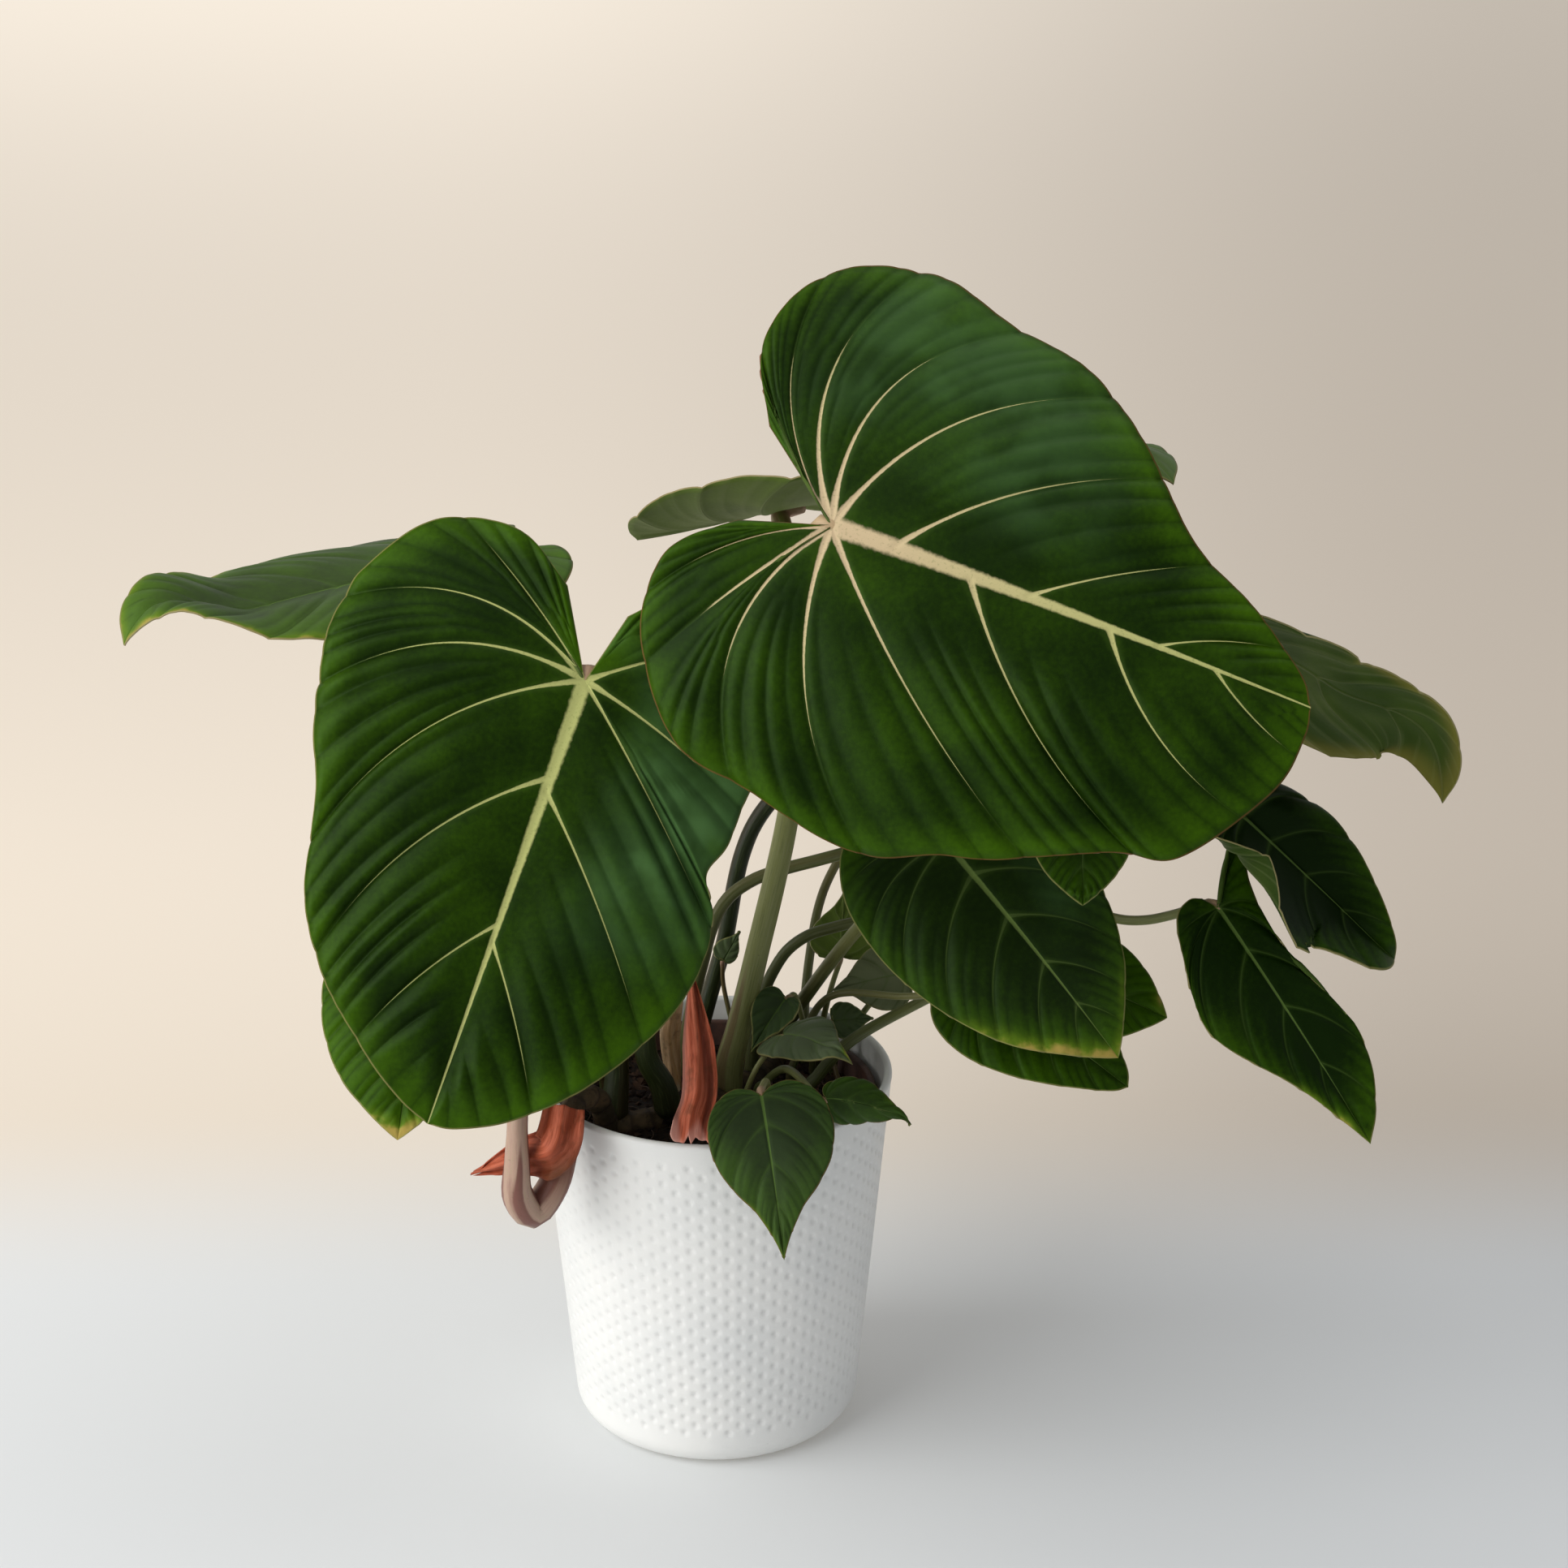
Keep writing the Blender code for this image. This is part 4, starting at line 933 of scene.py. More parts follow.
def make_cover_pot():
    """The round glazed pot, with staggered rows of small dents pressed into its side."""
    lip = POT_WALL / 2
    inner_foot = pot_side_radius(0) - POT_WALL
    profile = [(0.0, POT_FLOOR)]
    rounding = POT_INNER_ROUNDING
    profile += arc((inner_foot - rounding, POT_FLOOR + rounding), rounding, -90, -5, 5)
    profile += arc((POT_RIM_RADIUS - lip, POT_HEIGHT - lip), lip, 180, 0, 10)
    top = POT_HEIGHT - lip
    heights = np.linspace(top, POT_FOOT_ROUNDING, POT_SIDE_ROWS)[1:-1]
    profile += [(pot_side_radius(height), height) for height in heights]
    centre = (POT_SIDE_RADIUS - POT_FOOT_ROUNDING, POT_FOOT_ROUNDING)
    profile += arc(centre, POT_FOOT_ROUNDING, -2, -90, 9)
    profile += [(0.0, 0.0)]
    mesh = lathe_mesh("cover_pot_dented", profile, POT_STEPS)
    spot = coordinates(mesh)
    radius = np.hypot(spot[:, 0], spot[:, 1])
    turn = np.arctan2(spot[:, 1], spot[:, 0]) / (2 * math.pi) * DENTS_AROUND
    outside = radius > pot_side_radius(spot[:, 2]) - 0.0005
    row = np.clip(np.rint((spot[:, 2] - DENT_FIRST) / DENT_RISE), 0, DENT_ROWS - 1)
    dent = np.zeros(len(spot))
    for near in (-1, 0, 1):
        this_row = np.clip(row + near, 0, DENT_ROWS - 1)
        shifted = turn - 0.5 * (this_row % 2)
        sideways = (shifted - np.rint(shifted)) / DENTS_AROUND * 2 * math.pi * radius
        upwards = spot[:, 2] - DENT_FIRST - this_row * DENT_RISE
        reach = np.hypot(sideways, upwards) / DENT_RADIUS
        dent = np.maximum(dent, np.clip(1 - reach**2, 0, 1) ** 2)
    dent *= outside
    inward = -spot / np.maximum(radius, 1e-6)[:, None] * (1, 1, 0)
    set_coordinates(mesh, spot + inward * (dent * DENT_DEPTH)[:, None])
    inner = (radius < pot_side_radius(spot[:, 2]) - 0.0025) & (spot[:, 2] > 0.03)
    smear = eased(ripple(spot, 90.0, 3), -0.2, 0.9) * 0.5
    line = np.exp(-(((spot[:, 2] - POT_HEIGHT + BROWN_LINE_DROP) / BROWN_LINE_WIDTH) ** 2))
    set_attributes(mesh, dent=dent, dirt=inner * (smear * 0.35 + line * (0.4 + smear)))
    piece("cover_pot_dented", mesh, [glaze_finish()], "cover_pot", "cover_pot")


def make_grow_pot():
    """The thin nursery pot inside, with its rolled rim."""
    top = POT_HEIGHT - GROW_POT_DROP
    bottom = POT_FLOOR + 0.0004
    floor = bottom + GROW_POT_FLOOR
    corner = GROW_POT_CORNER
    foot = grow_pot_radius(bottom) - corner
    rim = grow_pot_radius(top)
    profile = [
        (GROW_POT_DRAIN, bottom),
        (GROW_POT_DRAIN, floor),
        (foot - corner, floor),
        (foot, floor + corner),
        (rim - GROW_POT_WALL, top - 0.0008),
        (rim - GROW_POT_WALL + 0.0004, top - 0.0002),
        (rim - GROW_POT_WALL + 0.001, top),
        (rim + GROW_POT_LIP - 0.0005, top),
        (rim + GROW_POT_LIP - 0.0001, top - 0.0003),
        (rim + GROW_POT_LIP, top - 0.0008),
        (rim + GROW_POT_LIP, top - 0.0046),
        (rim + GROW_POT_LIP - 0.0004, top - 0.005),
        (rim, top - 0.006),
        (foot + GROW_POT_WALL, bottom + corner),
        (foot - corner + GROW_POT_WALL, bottom),
        (GROW_POT_DRAIN, bottom),
    ]
    mesh = lathe_mesh("nursery_pot", profile, GROW_POT_STEPS)
    piece("nursery_pot", mesh, [nursery_finish()], "grow_pot", "grow_pot")


SOIL_STEPS = 200
CHIP_COUNT = 760
FIBRE_COUNT = 46


def make_soil():
    """The crumbly top of the potting mix, its chips and its fibres."""
    outer = grow_pot_radius(POT_HEIGHT - SOIL_DROP) - GROW_POT_WALL - 0.0003
    foot = grow_pot_radius(0) - 0.0044
    floor = POT_FLOOR + 0.0028
    profile = [(r, soil_height(r, 0)) for r in np.linspace(0, outer, 56)]
    profile += [(foot, floor + 0.005), (foot - 0.005, floor), (0.0, floor)]
    mesh = lathe_mesh("potting_mix_crumbs", profile, SOIL_STEPS)
    spot = coordinates(mesh)
    radius = np.hypot(spot[:, 0], spot[:, 1])
    top = (spot[:, 2] > 0.15) & (radius < outer - 0.0008)
    crumbs = ripple(spot, 900.0, 11) * 0.0007 + ripple(spot, 260.0, 12) * 0.0011
    spot[:, 2] += top * (crumbs + ripple(spot, 70.0, 13) * 0.0010 - 0.0006)
    set_coordinates(mesh, spot)
    piece("potting_mix_crumbs", mesh, [soil_finish()], "potting_mix", "potting_mix")
    draw = np.random.default_rng(4)
    chips = bmesh.new()
    for _ in range(CHIP_COUNT):
        reach = outer * 0.96 * math.sqrt(draw.uniform())
        angle = draw.uniform(0, 2 * math.pi)
        x, y = reach * math.cos(angle), reach * math.sin(angle)
        size = draw.uniform(0.0009, 0.0026) * (1.7 if draw.uniform() < 0.10 else 1.0)
        shape = Matrix.Diagonal((size * draw.uniform(0.8, 1.8), size, size * draw.uniform(0.3, 0.7), 1))
        tilt = Matrix.Rotation(draw.uniform(-0.7, 0.7), 4, "X")
        tilt = tilt @ Matrix.Rotation(draw.uniform(0, 6.3), 4, "Z")
        lift = soil_height(x, y) + draw.uniform(-0.0006, 0.0009)
        where = Matrix.Translation((x, y, lift)) @ tilt @ shape
        made = bmesh.ops.create_icosphere(chips, subdivisions=1, radius=1.0, matrix=where)
        for vertex in made["verts"]:
            vertex.co += Vector(draw.uniform(-0.35, 0.35, 3) * size)
    piece("bark_chips", finished("bark_chips", chips), [chip_finish()], "potting_mix")
    fibres = []
    for number in range(FIBRE_COUNT):
        reach = outer * 0.9 * math.sqrt(draw.uniform())
        angle = draw.uniform(0, 2 * math.pi)
        heading = draw.uniform(0, 2 * math.pi)
        steps = np.arange(5) * draw.uniform(0.0015, 0.004)
        x = reach * math.cos(angle) + np.cos(heading + steps * 60) * steps
        y = reach * math.sin(angle) + np.sin(heading + steps * 60) * steps
        inside = min(1.0, outer * 0.95 / float(np.hypot(x, y).max()))
        lift = soil_height(x, y) + 0.0010 + draw.uniform(0, 0.0016) * np.sin(steps * 200)
        path = np.stack([x * inside, y * inside, lift], axis=1)
        radii = np.full(5, draw.uniform(0.0002, 0.0004))
        fibres.append(tube_mesh("fibre", path, radii, sides=5, seed=number))
    piece("coir_fibres", joined("coir_fibres", fibres), [root_finish()], "potting_mix")


def joined(name, meshes):
    """Several meshes as one."""
    together = bmesh.new()
    for mesh in meshes:
        together.from_mesh(mesh)
        bpy.data.meshes.remove(mesh)
    mesh = finished(name, together)
    mesh.shade_smooth()
    return mesh


# ---------------------------------------------------------------- the blades

# Where a margin is drawn in: the side, the share of the way to the tip, its width and its depth,
# which is negative where the margin bulges out instead.
MARGIN_DENTS = {
    "front_left": ((1, 0.480, 0.030, 0.085), (-1, 0.300, 0.020, -0.010), (-1, 0.560, 0.030, 0.012)),
    "top_right": ((-1, 0.560, 0.040, 0.030),),
    "far_right": ((1, 0.885, 0.035, -0.28),),
}

# Half the width of a side vein in millimetres, against the share of the way to the margin.
VEIN_WIDTH = ((0, 0.15, 0.5, 0.8, 0.95), (2.4, 1.02, 0.52, 0.30, 0.10))
# Half the width of the midrib as a share of its length, against the share of the way to the tip.
RIB_WIDTH = ((0, 0.25, 0.45, 0.75, 1), (0.022, 0.0152, 0.0108, 0.0046, 0.0016))

# How deep the pleats between the veins are, as a share of their width.
PLEAT_DEPTH = {"top_right": 0.115, "front_left": 0.145, "pleated": 0.26, "others": 0.05}

# The groove over a vein, as its depth and half width in millimetres, and the one over the midrib,
# whose half width is a share of the midrib's own.
VEIN_GROOVE = (0.45, 1.4)
RIB_GROOVE = (0.55, 1.4)
PUFF = 0.050  # how far the blade rises between two veins, as a share of their distance
WIDE_GAP = 24  # millimetres between two veins that hold four pleats, and half of it holds three

# How strong a painted bluish sheen is on the right half of a blade, away from its tip.
PAINTED_SHEEN = {"top_right": 0.50, "front_left": 0.95, "middle": 0.60}


class Blade:
    """The mid surface of one leaf, for whole arrays of points."""

    def __init__(self, leaf, dents=()):
        self.leaf = leaf
        self.base = np.array(leaf.base)
        span = np.array(leaf.tip) - self.base
        self.length = np.linalg.norm(span)
        self.along = span / self.length
        facing = np.array(leaf.facing, float)
        self.facing = unit(facing - self.along * facing.dot(self.along))
        self.across = np.cross(self.facing, self.along)
        self.outlines = {}
        for side, half, width in ((-1, leaf.left, leaf.width[0]), (1, leaf.right, leaf.width[1])):
            stretched = [(a * width, b) for a, b in half]
            outline = smooth_path(stretched + [(0.0, 1.0)], 240)
            for where, middle, width, depth in dents:
                if where == side:
                    away = (np.linspace(0, 1, len(outline)) - middle) / width
                    outline[:, 0] *= 1 - depth * np.exp(-(away**2))
            self.outlines[side] = outline

    def edge(self, side, share):
        """(across, along) of the margin at each share of the way from lobe to tip."""
        outline = self.outlines[side]
        steps = np.linspace(0, 1, len(outline))
        return np.stack([np.interp(share, steps, column) for column in outline.T], axis=-1)

    def vein(self, side, start, share, sweep, t):
        """(across, along) at t from the midrib to the margin, on a path that bows back."""
        begin = np.stack([np.zeros_like(start), start], axis=-1)
        end = self.edge(side, share)
        chord = end - begin
        back = np.stack([chord[..., 1], -chord[..., 0]], axis=-1)
        bow = sweep * np.minimum(1.0, share / 0.25)
        control = (begin + end) / 2 + back * bow[..., None]
        t = t[..., None]
        return begin * (1 - t) ** 2 + 2 * control * t * (1 - t) + end * t**2

    def place(self, side, across, along):
        """World points and upward normals of points given as (across, along)."""
        leaf = self.leaf
        index = (side > 0).astype(int)
        fade = (1 - np.clip(along, 0, 1)) ** 2
        bend = np.radians(np.array(leaf.curl)[index] + np.array(leaf.roll)[index] * fade) * across
        half = np.where(np.abs(bend) > 0.001, bend / 2, 1.0)
        chord = across * np.where(np.abs(bend) > 0.001, np.sin(half) / half, 1.0)
        angle = np.radians(np.array(leaf.fold)[index]) + bend / 2
        height = 4 * leaf.arch * along * (1 - along)
        slope = 4 * leaf.arch * (1 - 2 * along)
        late = np.maximum(0.0, (along - 0.6) / 0.4)
        height = height + 4 * leaf.hook * late**2 * (1 - late)
        slope = slope + 4 * leaf.hook * (2 * late - 3 * late**2) / 0.4
        tilt = np.arctan(slope)[:, None]
        up = self.facing * np.cos(tilt) - self.along * np.sin(tilt)
        turn = (math.radians(leaf.twist) * along)[:, None]
        sideways = self.across * np.cos(turn) + up * np.sin(turn)
        up = up * np.cos(turn) - self.across * np.sin(turn)
        spot = self.base + (self.along * along[:, None] + self.facing * height[:, None]) * self.length
        cos, sin = np.cos(angle)[:, None], np.sin(angle)[:, None]
        outwards = sideways * side[:, None]
        spot = spot + (outwards * cos + up * sin) * (chord * self.length)[:, None]
        full = np.radians(np.array(leaf.fold)[index]) + bend
        return spot, unit(up * np.cos(full)[:, None] - outwards * np.sin(full)[:, None])


def row_steps(halves, fan, ribbed):
    """Where rows leave: 0 to 1 counts through the veins of the base, 1 to 2 along the midrib."""
    joints = sorted({vein[0] for half in halves for vein in half if vein[0] > 0} | {0.0, 1.0})
    steps = list(np.linspace(0, 1, fan + 1))
    for low, high in zip(joints, joints[1:]):
        count = max(3, round((high - low) * ribbed))
        steps += list(1 + np.linspace(low, high, count + 1)[1:])
    return np.array(steps)


def half_lanes(half):
    """A half's veins, with its first margin and its tip, as columns: where, start, end, sweep."""
    fan = sum(1 for vein in half if vein[0] == 0)
    rows = [(0.0, 0.0, 0.0, 0.0)]
    for number, (start, end, sweep) in enumerate(half, 1):
        where = number / fan if number <= fan else 1 + start
        rows.append((where, start, end, sweep))
    rows.append((2.0, 1.0, 1.0, 0.0))
    return np.array(rows)


def vein_rows(name, leaf, blade):
    """A blade's flat mesh, whose rows follow its veins, and what each vertex knows of its place.

    side is -1 on the left half and 1 on the right, and t the share of the way to the margin.
    across and along are in lengths of the midrib. The rest is in millimetres, apart from lane,
    which counts the gaps between veins, and fraction, the share of the way across one.
    """
    fan, ribbed, columns = BLADE_GRID["hero" if name in HERO_LEAVES else leaf.size]
    halves = VEINS.get(name, VEINS[leaf.size])
    steps = row_steps(halves, fan, ribbed)
    mesh, column, row = grid_mesh("leaf_" + name, 2 * columns, len(steps) - 1)
    side = np.where(column >= columns, 1, -1)
    t = (np.abs(column - columns) / columns) ** COLUMN_CROWDING
    across, along, gap, lane, fraction, lanes, inward = np.zeros((7, len(column)))
    to_mm = blade.length * 1000
    for which, half in zip((-1, 1), halves):
        table = half_lanes(half)
        mine = side == which
        where = steps[row[mine]]
        start, share, sweep = (np.interp(where, table[:, 0], table[:, k]) for k in (1, 2, 3))
        spot = blade.vein(which, start, share, sweep, t[mine])
        across[mine], along[mine] = np.abs(spot[:, 0]), spot[:, 1]
        position = np.interp(where, table[:, 0], np.arange(len(table)))
        low = np.clip(np.floor(position + 1e-9), 0, len(table) - 2).astype(int)
        ends = [blade.vein(which, *table[low + k, 1:].T, t[mine]) for k in (0, 1)]
        gap[mine] = np.linalg.norm(ends[1] - ends[0], axis=1) * to_mm
        lane[mine], fraction[mine] = low, np.clip(position - low, 0, 1)
        lanes[mine] = len(table) - 2
        end = blade.edge(which, share)
        inward[mine] = np.hypot(end[:, 0], end[:, 1] - start) * to_mm
    # The outermost gaps have a vein on one side only.
    before = np.where(lane > 0, fraction * gap, FAR)
    after = np.where(lane < lanes, (1 - fraction) * gap, FAR)
    inland = np.where(along > 0, across, np.hypot(across, along)) * to_mm
    breadth = np.linalg.norm(blade.edge(1, np.full(1, 0.5))) * to_mm
    inward = np.maximum(inward, 0.04 * breadth)
    margin = np.minimum((1 - t) * inward, np.where(lane == 0, fraction * gap, FAR))
    return mesh, SimpleNamespace(
        side=side, t=t, across=across, along=along, gap=gap, lane=lane, fraction=fraction,
        to_vein=np.minimum(before, after), inland=inland, margin=margin,
    )


def pleat_waves(name, at):
    """The small folds between two veins: how many there are, and a count that runs across them."""
    most = 4 if name in HERO_LEAVES else 3
    pleats = np.where(at.gap > WIDE_GAP, 4, np.where(at.gap > WIDE_GAP / 2, 3, 2))
    pleats = np.minimum(pleats, most)
    turn = math.pi * at.fraction
    wander = at.fraction + 0.060 * np.sin(2 * turn) * np.sin(at.lane * 2.1 + at.side + 2 * at.t)
    wander = wander + 0.022 * np.sin(4 * turn) * np.sin(at.lane * 1.3 - at.side + 3 * at.t)
    return pleats, wander


def make_leaf(name, leaf, finishes):
    """A blade with grooves, pleats and waves in its surface, and the marks of its own look."""
    look = LOOKS[name]
    blade = Blade(leaf, MARGIN_DENTS.get(name, ()))
    mesh, at = vein_rows(name, leaf, blade)
    side, t, along, gap = at.side, at.t, at.along, at.gap
    points, normals = blade.place(side, at.across, along)
    vein_width = look.vein * np.interp(t, *VEIN_WIDTH) * (1 - 0.35 * np.clip(along, 0, 1))
    rib_width = look.vein * blade.length * 1000 * np.interp(along, *RIB_WIDTH)
    pleats, wander = pleat_waves(name, at)
    crease = np.abs(wander * pleats - np.rint(wander * pleats)) * gap / pleats
    crease = np.where(t > 0.2, crease, 9.0)
    swell = np.abs(np.sin(math.pi * wander * pleats))
    outer = eased(t, 0.10, 0.60)
    draw = np.random.default_rng(sum(map(ord, name)))
    puff = 1 + 0.6 * np.sin(at.lane * 2.4 + draw.uniform(0, 6) + 4.0 * wander + 2.0 * t)
    puff = puff * np.where(along < 0.15, 0.65, 1.0)
    depth = PLEAT_DEPTH.get(name, PLEAT_DEPTH["others"])
    height = PUFF * gap * np.sin(math.pi * at.fraction) ** 0.8 * eased(t, 0.02, 0.5)
    height += depth * gap / pleats * swell * outer * puff * (1 - 0.6 * eased(t, 0.88, 1.0))
    height -= VEIN_GROOVE[0] * np.exp(-((at.to_vein / VEIN_GROOVE[1]) ** 2)) * (1 - 0.5 * t)
    height -= RIB_GROOVE[0] * np.exp(-((at.inland / (rib_width * RIB_GROOVE[1])) ** 2))
    reach = np.clip(blade.length / 0.2, 0.25, 1.0)
    height += reach * (1.3 * t**3 + 0.3) * ripple(points, 34.0, int(draw.integers(99)))
    height *= 1 - 0.8 * eased(along, 0.85, 1.0)
    set_coordinates(mesh, points + normals * height[:, None] * 0.001)
    # A painted bluish sheen on the right half, towards the margin and the lobe, not the tip.
    satin = PAINTED_SHEEN.get(name, 0.0) * (side > 0) * eased(t, 0.2, 0.6)
    set_attributes(
        mesh,
        vein=np.minimum(at.to_vein / vein_width, 6.0) + 1.3 * eased(t, 0.55, 1.0),
        pleat=0.5 + (swell - 0.6) * outer,
        rib=np.minimum(at.inland / rib_width, 6.0),
        crease=np.minimum(crease / 1.1, 4.0) + (1 - outer) * 2,
        margin=np.minimum(at.margin, 60.0),
        base=np.exp(-((np.hypot(at.across, along) / 0.42) ** 2)),
        worn=worn_bands(look, at),
        satin=satin * eased(along, 0.62, 0.30) * eased(along, -0.22, 0.02),
        tone=look.tone, blush=look.blush, grey=look.grey, red_edge=look.red_edge, pale=look.pale,
    )
    weld(mesh, flipped=True)
    obj = piece("leaf_" + name + "_velvet", mesh, finishes, "leaf", "leaf_" + name)
    thicken(obj, BLADE_THICKNESS, below=1, edge=2)


def worn_bands(look, at):
    """How far each vertex has yellowed, which fades inland and at the ends of its band."""
    worn = np.zeros(len(at.t))
    for which, low, high, width, strength in look.worn:
        band = strength * np.exp(-((at.margin / width) ** 2)) * (at.side == which)
        band = band * eased(at.along, low - 0.08, low + 0.10) * eased(at.along, high + 0.1, high)
        worn = np.maximum(worn, band)
    return worn


# ---------------------------------------------------------------- stalks, rhizome and roots

def rhizome_axis(count):
    path = smooth_path(RHIZOME_PATH, count)
    lift = soil_height(path[:, 0], path[:, 1]) - RHIZOME_DEPTH
    return np.column_stack([path, lift])


def ground_height(x, y):
    """Where a stalk stands: on the rhizome if it is there, and on the soil otherwise."""
    axis = rhizome_axis(60)
    on_stem = np.hypot(axis[:, 0] - x, axis[:, 1] - y).min() < RHIZOME_RADIUS
    return float(soil_height(x, y)) + (RHIZOME_RADIUS - RHIZOME_DEPTH if on_stem else 0.0)


# The hooked stalk's bend is thicker than its foot: share of its length, and metres more.
HOOK_SWELL = ((0.0, 0.04, 0.10, 0.15, 0.24, 1.0), (0.0008, 0.0018, 0.0026, 0.0024, 0.0, 0.0))


def make_stalk(name, stalk, leaf, finish):
    """A streaked stalk that swells into a knuckle under its blade."""
    blade = Blade(leaf)
    reach = blade.along * (stalk.top + 0.0006) + blade.facing * (stalk.top + 0.0018)
    points = list(stalk.points[1:]) + [tuple(blade.base - reach)]
    start = stalk.points[0]
    foot = start
    if len(start) == 2:
        foot = (*start, ground_height(*start) - 0.002)
        start = (*start, foot[2] + STALK_FOOT + 0.002)
    else:
        points = list(SHOOT_PATH[5:]) + [start] + points
        start = foot = SHOOT_PATH[4]
    path = smooth_path([start] + points, 44)
    path = np.vstack([foot, path]) if foot != start else path
    under = blade.base - blade.facing * stalk.top * 0.95
    inside = under + blade.along * stalk.top * 2.0 - blade.facing * stalk.top * 0.4
    path = np.vstack([path, under, inside])
    path = smooth_path(path[::2] if len(path) % 2 else np.vstack([path[:1], path[1::2]]), 90)
    share = np.linspace(0, 1, len(path))
    length = run_along(path)[-1]
    radii = np.interp(share, (0, 1), (stalk.foot, stalk.top))
    if len(stalk.points[0]) == 2:
        radii = radii * (1 + 0.20 * np.exp(-((share / 0.06) ** 2)))
    else:
        radii = radii + np.interp(share, *HOOK_SWELL)
    knuckle = np.clip(0.014 * (stalk.top / 0.0038) / length, 0.03, 0.12)
    swell = np.exp(-(((share - 1 + knuckle * 1.2) / knuckle) ** 2))
    radii = radii * (1 + 0.14 * swell)
    radii = radii * np.interp(share, (0, 1 - knuckle * 0.5, 1), (1, 1, 0.55))
    seed = sum(map(ord, name))
    mesh = tube_mesh("stalk_" + name, path, radii, sides=20, ridges=0.035, seed=seed)
    run = get_attribute(mesh, "run")
    foot_tone, top_tone, wine = STALK_TONES.get(name, STALK_TONES["others"])
    set_attributes(
        mesh,
        knuckle=eased(run, 1 - knuckle * 2.2, 1 - knuckle * 0.8),
        tone=foot_tone + (top_tone - foot_tone) * eased(run, 0.05, 0.8),
        wine=wine,
    )
    piece("stalk_" + name + "_streaked", mesh, [finish], "stalk", "stalk_" + name)


def ringed_stem(name, path, radii, finish, node, spacing, seed, fresh):
    """A corky stem whose old leaf scars stand out as rings."""
    run = run_along(path)
    ring = np.exp(-(((run / spacing - np.rint(run / spacing)) * spacing / 0.0007) ** 2))
    lump = 1 + 0.035 * np.sin(run * 900 + seed) + 0.05 * np.sin(run * 310)
    radii = radii * lump * (1 + 0.07 * ring)
    mesh = tube_mesh(name, path, radii, sides=32, ridges=0.05, seed=seed)
    along = get_attribute(mesh, "run")
    here = np.interp(along, np.linspace(0, 1, len(ring)), ring)
    set_attributes(mesh, ring=here, fresh=eased(along, *fresh))
    spot = coordinates(mesh)
    normals = np.array([vertex.normal for vertex in mesh.vertices])
    set_coordinates(mesh, spot + normals * (ripple(spot, 500.0, seed) * 0.00025)[:, None])
    piece(name, mesh, [finish], "rhizome", node)


ROOT_COUNT = 16
# Root stubs of the side shoot: where each starts and how far it reaches.
ROOT_STUBS = (
    ((-0.0590, -0.0560, 0.1930), (-0.006, -0.007, -0.004)),
    ((-0.0680, -0.0640, 0.1880), (-0.002, -0.008, -0.006)),
    ((-0.0760, -0.0690, 0.1640), (0.004, -0.006, -0.006)),
)


def make_rhizome():
    """The ringed rhizome and its side shoot, with their roots."""
    finish = rhizome_finish()
    axis = rhizome_axis(150)
    ends = np.linspace(0, 1, 150)
    radii = RHIZOME_RADIUS * np.clip(np.sin(math.pi * np.clip(ends, 0.02, 0.98)) * 5, 0.3, 1) ** 0.5
    ringed_stem("rhizome_ringed", axis, radii, finish, "rhizome", 0.009, 5, (2.0, 3.0))
    path = smooth_path(SHOOT_PATH[:6], 150)
    radii = np.interp(ends, np.linspace(0, 1, 6), SHOOT_RADII[:6])
    radii = radii * np.interp(ends, (0, 0.03, 0.75, 1), (0.6, 1, 0.95, 0.7))
    ringed_stem("side_shoot_ringed", path, radii, finish, "rhizome_side_shoot", 0.0095, 8, (0.80, 1.10))
    draw = np.random.default_rng(21)
    roots = []
    for number in range(ROOT_COUNT):
        spot = axis[int(draw.integers(6, 144))]
        heading = draw.uniform(0, 2 * math.pi)
        length = draw.uniform(0.008, 0.020)
        share = np.linspace(0, 1, 9)
        x = spot[0] + np.cos(heading + share * draw.uniform(-0.8, 0.8)) * length * share
        y = spot[1] + np.sin(heading + share * draw.uniform(-0.8, 0.8)) * length * share
        z = spot[2] + 0.004 * np.sin(share * 2.6) * (1 - share) - 0.004 * share**2
        radii = np.linspace(0.0009, 0.0004, 9)
        path = np.stack([x, y, z], axis=1)
        roots.append(tube_mesh("root", path, radii, sides=8, seed=number))
    for number, (spot, reach) in enumerate(ROOT_STUBS):
        path = np.array(spot) + np.outer(np.linspace(0, 1, 7), reach)
        path[:, 2] -= 0.0015 * np.linspace(0, 1, 7) ** 2
        radii = np.linspace(0.0013, 0.0006, 7)
        roots.append(tube_mesh("root", path, radii, sides=8, seed=30 + number))
    piece("air_roots", joined("air_roots", roots), [root_finish()], "rhizome")


# ---------------------------------------------------------------- bracts

BRACT_THICKNESS = 0.0004
BRACT_GRID = (56, 22)

Drape = namedtuple("Drape", "ridges ridge crumple flare rot patch lip dark")
# ridges is how many fold across the bract and ridge how high they stand, crumple how much it
# buckles and flare how its last stretch turns up. rot is how far its end has browned, patch how far
# one side has, lip how pale its end and its edge are and dark how deep the painted shade in its folds is.
DRAPES = {
    "red_front": Drape(1.3, 0.0018, 0.0009, 0.0070, 0.0, 0.0, 1.0, 1.0),
    "tan_dry": Drape(1.0, 0.0014, 0.0006, 0.0, 0.1, 0.0, 0.9, 0.5),
    "red_over_rim": Drape(1.7, 0.0016, 0.0016, 0.0, 0.0, 1.0, 0.0, 0.4),
}


